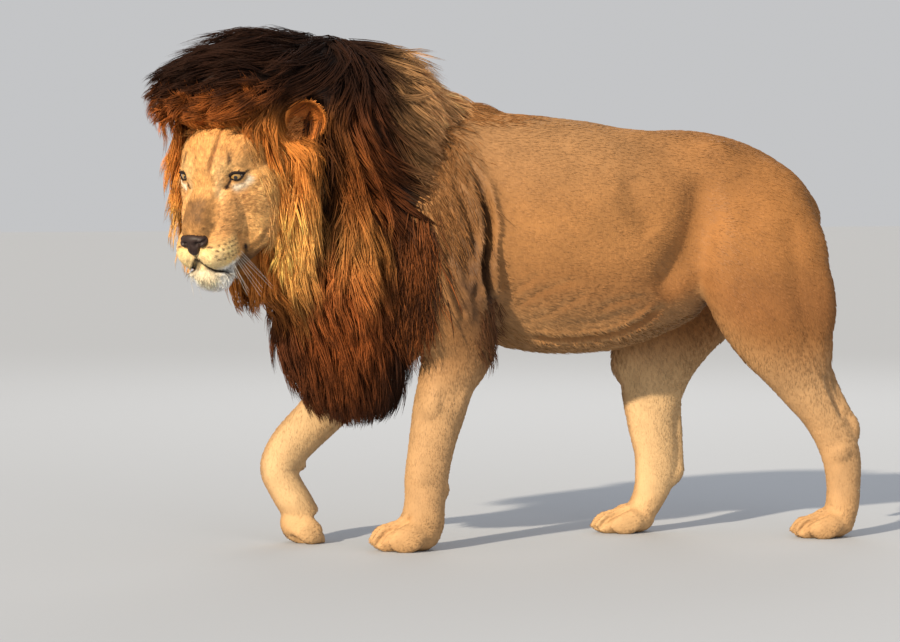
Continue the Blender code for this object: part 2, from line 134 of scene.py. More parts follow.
def tube(rows, side=(0, 1, 0), steps=5, sides=28, square=2.0, place=atHome, inset=pose["coatDepth"]):
    # Rows are x, y, z, half depth in the limb's own plane, half width along side
    rows = blendRows(rows, steps)
    centers = [Vector(r[:3]) for r in rows]
    points = []
    last = len(rows) - 1
    for i, row in enumerate(rows):
        tangent = (centers[min(i + 1, last)] - centers[max(i - 1, 0)]).normalized()
        across = Vector(side)
        across = (across - tangent * across.dot(tangent)).normalized()
        upward = tangent.cross(across)
        for k in range(sides):
            angle = 2 * math.pi * k / sides
            c, s = math.cos(angle), math.sin(angle)
            wide = math.copysign(abs(c) ** (2 / square), c) * max(row[4] - inset, 0.0002)
            deep = math.copysign(abs(s) ** (2 / square), s) * max(row[3] - inset, 0.0002)
            points.append(place @ (centers[i] + across * wide + upward * deep))
    ends = [tuple(range(sides))[::-1], tuple(last * sides + k for k in range(sides))]
    return addMesh("tube", points, ringFaces(last, sides) + ends)


def spun(degrees, axis):
    return Matrix.Rotation(math.radians(degrees), 4, axis)


def blob(center, radii, place=atHome, turn=(0, 0, 0), inset=pose["coatDepth"], detail=4):
    bpy.ops.mesh.primitive_ico_sphere_add(subdivisions=detail, radius=1)
    obj = bpy.context.active_object
    local = Matrix.Translation(center)
    for angle, axis in zip(turn, "XYZ"):
        local = local @ spun(angle, axis)
    local = local @ Matrix.Diagonal((*(max(r - inset, 0.002) for r in radii), 1))
    obj.data.transform(place @ local)
    return obj


def onlySelect(*objs):
    bpy.ops.object.select_all(action="DESELECT")
    for obj in objs:
        obj.select_set(True)
    bpy.context.view_layer.objects.active = objs[0]


def joinAll(name, pieces):
    onlySelect(*pieces)
    bpy.ops.object.join()
    obj = bpy.context.active_object
    obj.name = obj.data.name = name
    return obj


def applyModifier(obj, kind, **settings):
    onlySelect(obj)
    modifier = obj.modifiers.new(kind.lower(), kind)
    for key, value in settings.items():
        setattr(modifier, key, value)
    bpy.ops.object.modifier_apply(modifier=modifier.name)


def fuse(name, pieces, voxel, rounds):
    obj = joinAll(name, pieces)
    applyModifier(obj, "REMESH", mode="VOXEL", voxel_size=voxel)
    applyModifier(obj, "SMOOTH", factor=0.5, iterations=rounds)
    return obj


def mergeDoubles(obj, within):
    onlySelect(obj)
    bpy.ops.object.mode_set(mode="EDIT")
    bpy.ops.mesh.select_all(action="SELECT")
    bpy.ops.mesh.remove_doubles(threshold=within)
    bpy.ops.mesh.normals_make_consistent(inside=False)
    bpy.ops.object.mode_set(mode="OBJECT")


def smoothWhere(obj, weights, rounds):
    # Melts the joins between shapes where the weights are high
    group = obj.vertex_groups.new(name="where")
    for level in range(1, 11):
        chosen = np.flatnonzero((weights * 10).round() == level)
        group.add([int(i) for i in chosen], level / 10, "REPLACE")
    applyModifier(obj, "SMOOTH", factor=0.5, iterations=rounds, vertex_group="where")
    obj.vertex_groups.clear()


def readValues(data, attribute, width=1, kind=np.float32):
    values = np.empty(len(data) * width, kind)
    data.foreach_get(attribute, values)
    return values.reshape(-1, width) if width > 1 else values


def readPoints(obj):
    return readValues(obj.data.vertices, "co", 3).astype(float)


def readNormals(obj):
    return readValues(obj.data.vertices, "normal", 3).astype(float)


def flat(values, kind=np.float32):
    return np.ascontiguousarray(values, kind).ravel()


def writePoints(obj, points):
    obj.data.vertices.foreach_set("co", flat(points))
    obj.data.update()


def treeOf(obj):
    return BVHTree.FromPolygons([v.co for v in obj.data.vertices], [p.vertices for p in obj.data.polygons])


def smoothStep(x, low, high):
    t = np.clip((x - low) / (high - low), 0, 1)
    return t * t * (3 - 2 * t)


def fadeOut(x, low, high):
    return 1 - smoothStep(x, low, high)


def band(x, start, full, fading, end):
    return smoothStep(x, start, full) * fadeOut(x, fading, end)


def peak(*axes):
    # 1 where each of the values is at its own middle, falling away over its own width
    return np.exp(-sum(((values - middle) / width) ** 2 for values, middle, width in axes))


def normalized(way):
    way = np.array(way, float)
    return way / np.linalg.norm(way)


def moved(points, matrix):
    m = np.array(matrix)
    return points @ m[:3, :3].T + m[:3, 3]


def faceStretch(height):
    # The upper face sits higher than the muzzle's own proportions would put it
    return pose["eyeRise"] * smoothStep(height, -0.095, -0.030)


def fromHead(local):
    local = np.array(local, float)
    local[..., 2] += faceStretch(local[..., 2])
    return moved(local, head)


def toHead(points):
    local = moved(points, headInverse)
    high = local[..., 2].copy()
    for _ in range(16):
        local[..., 2] = high - faceStretch(local[..., 2])
    return local


def readInHead(obj):
    # An object's points and the ways they face, in head places
    return toHead(readPoints(obj)), readNormals(obj) @ np.array(headInverse)[:3, :3].T


def lengthen(obj):
    # Takes a piece built in plain head places to its stretched place
    writePoints(obj, fromHead(moved(readPoints(obj), headInverse)))
    return obj


def pathDistance(points, path):
    # Distance to the path, and how far along it the nearest spot lies from 0 to 1
    best = np.full(len(points), 9.0)
    along = np.zeros(len(points))
    path = np.array(path, float)
    for i in range(len(path) - 1):
        a, b = path[i], path[i + 1]
        t = np.clip((points - a) @ (b - a) / max((b - a) @ (b - a), 1e-12), 0, 1)
        d = np.linalg.norm(points - a - t[:, None] * (b - a), axis=1)
        nearer = d < best
        best[nearer] = d[nearer]
        along[nearer] = (i + t[nearer]) / (len(path) - 1)
    return best, along


def stroke(points, path, width):
    # 1 on the path, falling away over the width
    return peak((pathDistance(points, path)[0], 0, width))


def groove(points, outward, path, width, depth, lip):
    # A soft valley along the path with a low ridge on either side, fading at both ends
    d, along = pathDistance(points, path)
    fade = band(along, -0.01, 0.18, 0.82, 1.01)
    valley, ridge = peak((d, 0, width)), peak((d, 1.9 * width, width))
    points += outward * ((ridge * lip - valley) * depth * fade)[:, None]


def swell(points, outward, center, radii, amount):
    d = np.linalg.norm((points - np.array(center)) / np.array(radii), axis=1)
    points += outward * (np.exp(-d * d) * amount)[:, None]


# Body skin

bodyLook = {"voxel": 0.0062, "smoothing": 5, "blending": 60, "facesKept": 0.34}


def trunk():
    outline = [
        (-0.29, 0.93, 0.74, 0.075),
        (-0.23, 0.99, 0.61, 0.135),
        (-0.12, 1.045, 0.535, 0.180),
        (0.00, 1.085, 0.505, 0.203),
        (0.12, 1.085, 0.500, 0.218),
        (0.26, 1.072, 0.474, 0.226),
        (0.40, 1.058, 0.478, 0.218),
        (0.52, 1.050, 0.520, 0.192),
        (0.62, 1.045, 0.575, 0.168),
        (0.72, 1.020, 0.600, 0.168),
        (0.82, 0.966, 0.610, 0.165),
        (0.89, 0.900, 0.625, 0.135),
        (0.935, 0.830, 0.650, 0.085),
        (0.952, 0.770, 0.700, 0.030),
    ]
    rows = [(x, 0, (top + low) / 2, (top - low) / 2, wide) for x, top, low, wide in outline]
    pieces = [tube(rows, square=2.15, sides=40), blob((0.035, 0, 1.03), (0.13, 0.075, 0.082))]
    for side in (1, -1):
        pieces.append(blob((0.79, side * 0.075, 0.80), (0.155, 0.095, 0.17)))
        # hip bone, loin muscle and shoulder blade
        pieces.append(blob((0.665, side * 0.085, 0.965), (0.075, 0.045, 0.055)))
        pieces.append(blob((0.42, side * 0.055, 0.995), (0.24, 0.055, 0.050)))
        pieces.append(blob((0.055, side * 0.055, 1.045), (0.070, 0.028, 0.045), turn=(side * 12, 20, 0)))
    neck = [
        (-0.02, 0.0, 0.85, 0.200, 0.150),
        (-0.16, -0.01, 0.87, 0.185, 0.140),
        (-0.30, -0.06, 0.90, 0.150, 0.120),
        (-0.42, -0.12, 0.925, 0.130, 0.105),
        (-0.52, -0.175, 0.935, 0.110, 0.095),
    ]
    pieces.append(tube(neck))
    return pieces


def tail():
    rows = [
        (0.86, 0.0, 0.895, 0.045, 0.045),
        (0.918, 0.01, 0.835, 0.034, 0.034),
        (0.946, 0.03, 0.74, 0.027, 0.027),
        (0.958, 0.05, 0.62, 0.023, 0.023),
        (0.966, 0.065, 0.49, 0.021, 0.021),
        (0.994, 0.075, 0.38, 0.020, 0.020),
        (1.018, 0.08, 0.31, 0.019, 0.019),
        (1.036, 0.08, 0.25, 0.017, 0.017),
        (1.046, 0.08, 0.20, 0.014, 0.014),
    ]
    return [tube(rows, inset=0.004)]


def pawPlace(x, y, z, heading, pitch=0):
    return atHome @ Matrix.Translation((x, y, z)) @ (spun(heading, "Z") @ spun(pitch, "Y"))


pawGaps = []


def paw(place, width, length, height):
    # An arched foot with four close toes; the middle two reach furthest
    for k in (-1, 0, 1):
        across = k * width * 0.24
        pawGaps.append([place @ Vector((length * x, across, height * z)) for x, z in
                        ((0.10, 0.98), (0.30, 0.90), (0.48, 0.66), (0.60, 0.36), (0.62, 0.10))])
    heel, ball = (length * 0.36, width * 0.45, height * 0.60), (length * 0.30, width * 0.44, height * 0.48)
    pieces = [
        blob((0.008, 0, height * 0.52), heel, place, inset=0.004),
        blob((length * 0.12, 0, height * 0.52), ball, place, inset=0.004),
    ]
    for i, reach in enumerate((0.72, 0.88, 0.86, 0.68)):
        across = (i - 1.5) * width * 0.240
        x = length * (reach - 0.46)
        # toe, knuckle and claw, each further along, higher, its radii, turn and inset
        for along, high, radii, turn, inset in (
            (0, 0.38, (0.27, 0.150, 0.44), (0, 14, -(i - 1.5) * 5), 0.003),
            (-0.07, 0.60, (0.15, 0.115, 0.26), (0, 22, 0), 0.002),
            (0.235, 0.30, (0.045, 0.035, 0.10), (0, 0, 0), 0),
        ):
            radii = (length * radii[0], width * radii[1], height * radii[2])
            pieces.append(blob((x + length * along, across, height * high), radii, place, turn, inset))
    return pieces


def leftForeleg():
    y = -pose["limbSpread"]
    rows = [
        (0.045, y + 0.05, 1.035, 0.060, 0.030),
        (0.005, y + 0.005, 0.96, 0.118, 0.055),
        (-0.045, y - 0.035, 0.85, 0.138, 0.062),
        (-0.095, y - 0.045, 0.72, 0.143, 0.075),
        (-0.066, y - 0.040, 0.60, 0.132, 0.078),
        (-0.022, y - 0.022, 0.505, 0.102, 0.068),
        (-0.045, y - 0.008, 0.42, 0.078, 0.062),
        (-0.064, y, 0.34, 0.071, 0.060),
        (-0.082, y, 0.26, 0.063, 0.054),
        (-0.095, y, 0.18, 0.060, 0.053),
        (-0.099, y, 0.12, 0.056, 0.055),
        (-0.105, y, 0.07, 0.060, 0.058),
        (-0.108, y, 0.03, 0.050, 0.050),
    ]
    return [
        tube(rows),
        blob((0.038, y - 0.02, 0.490), (0.042, 0.034, 0.052)),
        blob((-0.052, y - 0.005, 0.152), (0.020, 0.028, 0.030)),
        blob((-0.105, y - 0.018, 0.185), (0.045, 0.038, 0.050)),
        # triceps, upper arm and forearm muscles
        blob((0.010, y - 0.050, 0.660), (0.062, 0.050, 0.150), turn=(0, 12, 0)),
        blob((-0.100, y - 0.070, 0.640), (0.065, 0.050, 0.130), turn=(0, -18, 0)),
        blob((-0.080, y - 0.012, 0.390), (0.042, 0.055, 0.100), turn=(0, 12, 0)),
        blob((-0.020, y - 0.015, 0.400), (0.038, 0.050, 0.100), turn=(0, 14, 0)),
        *paw(pawPlace(-0.112, y, 0.002, heading=176), 0.135, 0.18, 0.085),
    ]


def rightForeleg():
    y = pose["limbSpread"] - 0.03
    rows = [
        (0.045, y - 0.02, 1.035, 0.060, 0.030),
        (0.000, y + 0.025, 0.96, 0.118, 0.055),
        (-0.060, y + 0.065, 0.85, 0.138, 0.062),
        (-0.120, y + 0.075, 0.72, 0.143, 0.072),
        (-0.120, y + 0.070, 0.60, 0.132, 0.074),
        (-0.125, y + 0.050, 0.52, 0.102, 0.066),
        (-0.185, y + 0.025, 0.45, 0.080, 0.060),
        (-0.250, y + 0.010, 0.385, 0.072, 0.057),
        (-0.320, y, 0.315, 0.064, 0.053),
        (-0.385, y, 0.250, 0.060, 0.051),
        (-0.418, y, 0.195, 0.052, 0.050),
        (-0.402, y, 0.150, 0.050, 0.052),
        (-0.376, y, 0.105, 0.050, 0.057),
        (-0.350, y, 0.065, 0.047, 0.055),
    ]
    return [
        tube(rows),
        blob((-0.412, y, 0.218), (0.046, 0.048, 0.042)),
        blob((-0.07, y + 0.045, 0.50), (0.045, 0.036, 0.055)),
        blob((-0.030, y + 0.080, 0.660), (0.062, 0.050, 0.150), turn=(0, 12, 0)),
        blob((-0.260, y + 0.012, 0.405), (0.045, 0.052, 0.095), turn=(0, 50, 0)),
        blob((-0.365, y + 0.010, 0.200), (0.026, 0.040, 0.022)),
        *paw(pawPlace(-0.337, y, 0.078, heading=182, pitch=120), 0.125, 0.145, 0.078),
    ]


def leftHindleg():
    y = -pose["limbSpread"]
    rows = [
        (0.760, y + 0.055, 0.93, 0.100, 0.050),
        (0.765, y + 0.015, 0.84, 0.155, 0.070),
        (0.772, y - 0.010, 0.74, 0.178, 0.085),
        (0.792, y - 0.015, 0.64, 0.172, 0.087),
        (0.830, y - 0.012, 0.545, 0.148, 0.080),
        (0.868, y - 0.005, 0.46, 0.112, 0.068),
        (0.900, y, 0.385, 0.076, 0.056),
        (0.936, y, 0.325, 0.058, 0.048),
        (0.974, y, 0.265, 0.058, 0.043),
        (0.996, y, 0.205, 0.056, 0.042),
        (1.002, y, 0.14, 0.050, 0.043),
        (0.998, y, 0.08, 0.048, 0.048),
        (0.985, y, 0.03, 0.045, 0.050),
    ]
    tendon = [
        (0.915, y + 0.002, 0.475, 0.026, 0.022),
        (0.950, y + 0.002, 0.430, 0.020, 0.018),
        (0.978, y + 0.002, 0.380, 0.015, 0.014),
        (1.008, y + 0.001, 0.320, 0.016, 0.016),
        (1.025, y, 0.285, 0.022, 0.020),
    ]
    return [
        tube(rows),
        tube(tendon, inset=0.001),
        blob((1.022, y, 0.282), (0.028, 0.026, 0.048), turn=(0, -12, 0)),
        blob((0.735, y - 0.01, 0.545), (0.055, 0.055, 0.085), turn=(0, -35, 0)),
        blob((0.985, y - 0.012, 0.222), (0.040, 0.038, 0.040)),
        blob((0.880, y - 0.025, 0.640), (0.085, 0.062, 0.170), turn=(0, -14, 0)),
        blob((0.745, y - 0.020, 0.690), (0.090, 0.062, 0.160), turn=(0, -8, 0)),
        *paw(pawPlace(0.978, y, 0.002, heading=178), 0.118, 0.165, 0.072),
    ]


def rightHindleg():
    y = pose["limbSpread"] - 0.02
    rows = [
        (0.760, y - 0.040, 0.93, 0.100, 0.050),
        (0.755, y + 0.005, 0.84, 0.155, 0.070),
        (0.735, y + 0.030, 0.74, 0.180, 0.085),
        (0.680, y + 0.035, 0.63, 0.175, 0.085),
        (0.625, y + 0.030, 0.53, 0.140, 0.076),
        (0.588, y + 0.020, 0.44, 0.110, 0.066),
        (0.572, y + 0.010, 0.36, 0.088, 0.057),
        (0.570, y + 0.005, 0.28, 0.070, 0.049),
        (0.580, y, 0.21, 0.064, 0.044),
        (0.578, y, 0.15, 0.060, 0.042),
        (0.563, y, 0.100, 0.050, 0.043),
        (0.545, y, 0.065, 0.044, 0.048),
        (0.530, y, 0.035, 0.036, 0.050),
    ]
    tendon = [
        (0.625, y + 0.002, 0.420, 0.026, 0.022),
        (0.634, y + 0.002, 0.310, 0.016, 0.014),
        (0.638, y + 0.001, 0.220, 0.016, 0.016),
        (0.635, y, 0.165, 0.022, 0.020),
    ]
    return [
        tube(rows),
        tube(tendon, inset=0.001),
        blob((0.627, y, 0.150), (0.030, 0.028, 0.045), turn=(0, 35, 0)),
        blob((0.515, y + 0.02, 0.46), (0.055, 0.055, 0.085), turn=(0, 8, 0)),
        blob((0.700, y + 0.040, 0.640), (0.085, 0.062, 0.170), turn=(0, 18, 0)),
        *paw(pawPlace(0.525, y, 0.002, heading=182), 0.118, 0.17, 0.072),
    ]


def sidePoint(tree, x, z, side):
    # The skin's point at a place seen from one side
    origin = home + Vector((x, side * 1.0, z))
    hit = tree.ray_cast(origin, Vector((0, -side, 0)))[0]
    return np.array(hit if hit else origin)


def skinFolds(side):
    # Each fold's path as x and z, its width and depth, and the ridge beside it
    back = 0.0 if side < 0 else -0.03
    folds = [
        # shoulder folds, the deep one behind the upper arm first
        ([(0.016 + back, 0.915), (0.039 + back, 0.810), (0.030 + back, 0.696), (0.050 + back, 0.605)],
         0.012, 0.030, 0.5),
        ([(-0.050 + back, 0.924), (-0.013 + back, 0.810), (0.012 + back, 0.710), (0.004 + back, 0.620)],
         0.010, 0.014, 0.5),
        ([(-0.077 + back, 0.760), (-0.058 + back, 0.668), (-0.020 + back, 0.575)], 0.011, 0.012, 0.4),
        ([(-0.002 + back, 0.968), (0.030 + back, 0.900), (0.070 + back, 0.838)], 0.010, 0.008, 0.4),
        ([(0.062 + back, 0.780), (0.068 + back, 0.700), (0.085 + back, 0.640)], 0.010, 0.006, 0.3),
        # loose skin along the belly and flank
        ([(0.159, 0.530), (0.247, 0.520), (0.367, 0.528), (0.450, 0.558), (0.507, 0.601)], 0.011, 0.010, 0.5),
        ([(0.112, 0.640), (0.145, 0.668), (0.190, 0.690)], 0.008, 0.0010, 0.4),
        ([(0.112, 0.600), (0.170, 0.636), (0.270, 0.672)], 0.009, 0.0015, 0.4),
        ([(0.130, 0.560), (0.210, 0.590), (0.300, 0.640)], 0.009, 0.0013, 0.4),
        ([(0.326, 0.590), (0.380, 0.614), (0.450, 0.622)], 0.009, 0.0015, 0.4),
        ([(0.240, 0.560), (0.330, 0.566), (0.420, 0.590)], 0.008, 0.0012, 0.4),
    ]
    if side < 0:
        # in front of the thigh, between its muscles, and the hollow before the heel tendon
        return folds + [
            ([(0.620, 0.940), (0.612, 0.870), (0.596, 0.810), (0.572, 0.745), (0.525, 0.680), (0.480, 0.630)],
             0.046, 0.021, 0.12),
            ([(0.420, 0.930), (0.425, 0.850), (0.470, 0.777)], 0.036, 0.008, 0.0),
            ([(0.70, 0.93), (0.715, 0.86), (0.715, 0.78)], 0.034, 0.005, 0.0),
            ([(0.83, 0.82), (0.835, 0.70), (0.86, 0.58), (0.90, 0.47)], 0.028, 0.006, 0.0),
            ([(0.935, 0.42), (0.962, 0.36), (0.990, 0.31)], 0.009, 0.008, 0.35),
        ]
    return folds + [
        ([(0.60, 0.88), (0.58, 0.78), (0.53, 0.68), (0.50, 0.61)], 0.026, 0.013, 0.35),
        ([(0.78, 0.82), (0.75, 0.70), (0.70, 0.58), (0.66, 0.47)], 0.020, 0.007, 0.35),
        ([(0.625, 0.34), (0.618, 0.27), (0.615, 0.21)], 0.009, 0.008, 0.35),
    ]


def shapeBody():
    pieces = trunk() + tail() + leftForeleg() + rightForeleg() + leftHindleg() + rightHindleg()
    body = fuse("body", pieces, bodyLook["voxel"], bodyLook["smoothing"])
    x, _, z = (readPoints(body) - homeSpot).T
    tailPart = smoothStep(x, 0.90, 0.94) * fadeOut(z, 0.80, 0.88)
    smoothWhere(body, smoothStep(z, 0.40, 0.58) * (1 - tailPart), bodyLook["blending"])
    tree = treeOf(body)
    points, outward = readPoints(body), readNormals(body)
    for gap in pawGaps:
        dense = blendRows([(*spot, 0, 0) for spot in gap], 5)
        path = [np.array(tree.find_nearest(Vector(row[:3]))[0]) for row in dense]
        groove(points, outward, path, 0.0075, 0.011, 0.15)
    for side in (-1, 1):
        for fold, width, depth, lip in skinFolds(side):
            dense = blendRows([(x, z, 0, 0, 0) for x, z in fold], 6)
            path = [sidePoint(tree, row[0], row[1], side) for row in dense]
            groove(points, outward, path, width, depth, lip)
    # what would sink below the floor stays on it
    points[:, 2] = np.maximum(points[:, 2], pose["soleHeight"])
    writePoints(body, points)
    return body


body = shapeBody()
print("stage: body skin", len(body.data.vertices))


# Head skin

headLook = {
    "voxel": 0.0027,
    "smoothing": 3,
    "facesKept": 0.52,
    "inset": 0.0062,
    "soft": 0.0062,
    "eyeball": 0.0200,
    "lidShell": 0.0224,
    "socket": 0.0135,
    "lidReach": 0.034,
    "slit": math.radians(63),
    "upperLid": math.radians(27),
    "lowerLid": math.radians(24),
}


def eyeFrame(side):
    # Where the lids open: centre, facing, along the slit, across the slit
    center = np.array((-0.012, side * 0.067, 0.0))
    facing = normalized((0.88, side * 0.45, 0.06))
    along = np.array((-0.45, side * 0.88, 0.12))
    along = normalized(along - facing * (along @ facing))
    return center, facing, along, np.cross(facing, along) * side


def lidEdge(angle):
    # Half heights of the almond at an angle along the slit
    shape = np.clip(1 - (angle / headLook["slit"]) ** 2, 0, 1)
    upper = headLook["upperLid"] * shape**0.75 * (1 - 0.45 * angle / headLook["slit"])
    lower = headLook["lowerLid"] * shape**0.9 * (1 + 0.15 * angle / headLook["slit"])
    return upper, lower


def aroundEye(local, side):
    # Distance from the eye's centre, how far ahead of it, the angles along and across the slit, and
    # the angle by which a point lies outside the slit
    center, facing, along, across = eyeFrame(side)
    d = local - center
    ahead = d @ facing
    a, b = np.arctan2(d @ along, ahead), np.arctan2(d @ across, ahead)
    upper, lower = lidEdge(a)
    off = np.maximum(np.maximum(b - upper, -lower - b), np.abs(a) - headLook["slit"])
    return np.linalg.norm(d, axis=1), ahead, a, b, off


def openLids(local):
    # The lids hug the eyeball near the slit and swell away from it
    for side in (-1, 1):
        center = eyeFrame(side)[0]
        r, ahead, a, b, off = aroundEye(local, side)
        near = (r < headLook["lidReach"]) & (ahead > 0)
        within = near & (off < 0)
        lid = near & ~within & (np.abs(a) < 1.25) & (np.abs(b) < 0.95)
        shell = headLook["lidShell"] + 0.004 * smoothStep(off, 0.0, 0.7)
        target = r + (shell - r) * fadeOut(off, 0.12, 0.75)
        for part, size in ((lid, target[lid, None]), (within, headLook["socket"])):
            local[part] = center + (local[part] - center) / r[part, None] * size


def mouthPath(side):
    return [(0.130, side * 0.002, -0.142), (0.124, side * 0.014, -0.158), (0.110, side * 0.032, -0.174),
            (0.088, side * 0.050, -0.185), (0.064, side * 0.061, -0.187), (0.044, side * 0.066, -0.180),
            (0.030, side * 0.069, -0.166), (0.024, side * 0.072, -0.150)]


def frownPath(side):
    return [(-0.080, side * 0.020, 0.100), (-0.040, side * 0.026, 0.090), (-0.004, side * 0.028, 0.066),
            (0.022, side * 0.022, 0.042), (0.032, side * 0.018, 0.014)]


def whiskerSpots():
    # Forward and upward places of the whisker pad's dots, row by row
    return [(0.126 - 0.0135 * k - 0.004 * (row % 2), -0.109 - 0.0115 * row - 0.0015 * k)
            for row in range(4) for k in range(6)]


def headMasses():
    # Centre, radii and turn of each mass of the head
    masses = [
        ((-0.105, 0, 0.000), (0.150, 0.110, 0.108), (0, 0, 0)),
        ((-0.060, 0, 0.040), (0.072, 0.080, 0.062), (0, -25, 0)),
        # nose bridge and muzzle
        ((-0.004, 0, -0.004), (0.055, 0.040, 0.036), (0, 24, 0)),
        ((0.052, 0, -0.042), (0.090, 0.022, 0.027), (0, 27, 0)),
        ((0.058, 0, -0.108), (0.074, 0.054, 0.054), (0, 10, 0)),
        ((0.104, 0, -0.098), (0.030, 0.034, 0.028), (0, 0, 0)),
        # chin, jaw and throat
        ((0.080, 0, -0.200), (0.036, 0.055, 0.036), (0, 0, 0)),
        ((0.096, 0, -0.186), (0.026, 0.049, 0.022), (0, 0, 0)),
        ((0.070, 0, -0.166), (0.050, 0.044, 0.026), (0, 0, 0)),
        ((0.030, 0, -0.182), (0.068, 0.052, 0.046), (0, 6, 0)),
        ((-0.060, 0, -0.150), (0.100, 0.075, 0.062), (0, 14, 0)),
    ]
    for side in (1, -1):
        masses += [
            ((0.050, side * 0.017, -0.043), (0.085, 0.023, 0.026), (0, 27, 0)),
            ((0.104, side * 0.017, -0.076), (0.028, 0.020, 0.018), (0, 20, 0)),
            ((0.024, side * 0.043, -0.077), (0.074, 0.036, 0.050), (0, 22, side * -10)),
            ((0.082, side * 0.038, -0.130), (0.054, 0.040, 0.050), (0, 8, side * -8)),
            ((0.110, side * 0.027, -0.130), (0.030, 0.031, 0.034), (0, 0, 0)),
            ((0.052, side * 0.046, -0.146), (0.054, 0.024, 0.034), (0, 4, side * -12)),
            ((-0.020, side * 0.046, -0.158), (0.085, 0.036, 0.045), (0, 12, side * -14)),
            # cheek, cheekbone, brow, temple and the swell over the eyeball
            ((-0.085, side * 0.068, -0.058), (0.100, 0.062, 0.085), (0, 12, 0)),
            ((-0.064, side * 0.070, -0.112), (0.085, 0.048, 0.072), (0, 12, 0)),
            ((-0.050, side * 0.078, -0.026), (0.070, 0.034, 0.030), (0, 8, side * -28)),
            ((-0.020, side * 0.053, 0.027), (0.044, 0.029, 0.019), (0, 0, side * -28)),
            ((-0.080, side * 0.064, 0.040), (0.062, 0.038, 0.045), (0, 0, 0)),
            ((-0.013, side * 0.066, 0.000), (0.027, 0.027, 0.027), (0, 0, 0)),
        ]
    return masses


def meltInto(points, masses, inset, soft, rounds):
    # Moves points onto the surface where all the masses flow into one another
    fields = []
    for center, radii, turn in masses:
        spin = Matrix.Identity(3)
        for angle, axis in zip(turn, "XYZ"):
            spin = spin @ Matrix.Rotation(math.radians(angle), 3, axis)
        fields.append((np.array(center), np.array(spin), np.array(radii) - inset))

    def field(p):
        total = np.zeros(len(p))
        for center, spin, radii in fields:
            q = (p - center) @ spin
            k1 = np.linalg.norm(q / radii, axis=1)
            k2 = np.linalg.norm(q / radii**2, axis=1)
            total += np.exp(np.clip(-k1 * (k1 - 1) / np.maximum(k2, 1e-6) / soft, -60, 60))
        return -soft * np.log(np.maximum(total, 1e-26))

    step, furthest = 0.0005, 0.012
    for _ in range(rounds):
        value = field(points)
        slope = np.stack([(field(points + step * axis) - value) / step for axis in np.eye(3)], 1)
        size = np.maximum((slope**2).sum(1), 0.2)
        points -= slope * np.clip(value / size, -furthest, furthest)[:, None]
    return points


def layPath(tree, path):
    # The path drawn on the surface, in small steps
    dense = blendRows([(*p, 0, 0) for p in path], 6)
    return [toHead(np.array(tree.find_nearest(Vector(fromHead(row[:3])))[0])) for row in dense]


def headCreases(side):
    # Each crease's path, its width and depth, and the ridge beside it
    return [
        # mouth and its corner
        (mouthPath(side)[side > 0:], 0.0042, 0.0120, 0.25),
        ([(0.022, side * 0.070, -0.178), (-0.004, side * 0.090, -0.150), (-0.022, side * 0.104, -0.128)],
         0.006, 0.008, 0.3),
        # behind the whisker pad, beside the nose, under the cheekbone
        ([(0.048, side * 0.052, -0.085), (0.038, side * 0.064, -0.115), (0.036, side * 0.066, -0.150)],
         0.007, 0.0016, 0.2),
        ([(0.012, side * 0.040, -0.022), (0.050, side * 0.038, -0.058), (0.092, side * 0.036, -0.086)],
         0.009, 0.0025, 0.0),
        ([(0.004, side * 0.052, -0.034), (-0.020, side * 0.080, -0.042), (-0.060, side * 0.100, -0.030)],
         0.010, 0.0022, 0.0),
        # brow fold above the lid, and the frown line up the forehead
        ([(0.008, side * 0.040, 0.010), (0.004, side * 0.058, 0.030),
          (-0.016, side * 0.082, 0.032), (-0.036, side * 0.094, 0.018)], 0.0060, 0.0012, 0.2),
        (frownPath(side), 0.0060, 0.0032 if side > 0 else 0.0016, 0.3),
    ]


def shapeHead():
    masses = headMasses()
    pieces = [blob(center, radii, head, turn, inset=0) for center, radii, turn in masses]
    obj = fuse("headSkin", pieces, headLook["voxel"] * 1.6, 4)

    def melt(rounds):
        points = meltInto(toHead(readPoints(obj)), masses, headLook["inset"], headLook["soft"], rounds)
        writePoints(obj, fromHead(points))

    melt(5)
    applyModifier(obj, "REMESH", mode="VOXEL", voxel_size=headLook["voxel"])
    melt(2)
    applyModifier(obj, "SMOOTH", factor=0.5, iterations=headLook["smoothing"])
    tree = treeOf(obj)
    points, outward = readInHead(obj)

    def crease(path, width, depth, lip):
        groove(points, outward, layPath(tree, path), width, depth, lip)

    for side in (-1, 1):
        for path, width, depth, lip in headCreases(side):
            crease(path, width, depth, lip)
        for ahead, high in whiskerSpots():
            swell(points, outward, (ahead, side * 0.06, high), (0.003, 0.022, 0.003), -0.0010)
        swell(points, outward, (0.036, side * 0.066, -0.086), (0.026, 0.022, 0.034), 0.0062)
    # philtrum, middle of the forehead and the bed of the nose
    crease([(0.142, 0, -0.112), (0.140, 0, -0.126), (0.128, 0, -0.144)], 0.0026, 0.0055, 0.3)
    crease([(-0.010, 0, 0.035), (-0.040, 0, 0.085), (-0.075, 0, 0.115)], 0.012, 0.0014, 0.2)
    swell(points, outward, (0.130, 0, -0.094), (0.030, 0.034, 0.018), -0.008)
    openLids(points)
    writePoints(obj, fromHead(points))
    return obj


def lidRims():
    # Dark wet rims that lie on the eyeball round each slit, the upper one thicker
    pieces = []
    end = headLook["slit"] * 1.04
    for side in (-1, 1):
        center, facing, along, across = eyeFrame(side)
        for upperRim, thick in ((True, 0.0036), (False, 0.0020)):
            rows = []
            for a in np.linspace(-end, end, 25):
                upper, lower = lidEdge(a)
                b = upper if upperRim else -lower
                way = normalized(facing + along * math.tan(a) * 0.999 + across * math.tan(float(b)))
                rows.append((*(center + way * (headLook["eyeball"] + 0.0014)), thick, thick))
            pieces.append(lengthen(tube(rows, tuple(facing), steps=2, sides=10, place=head, inset=0)))
    return pieces


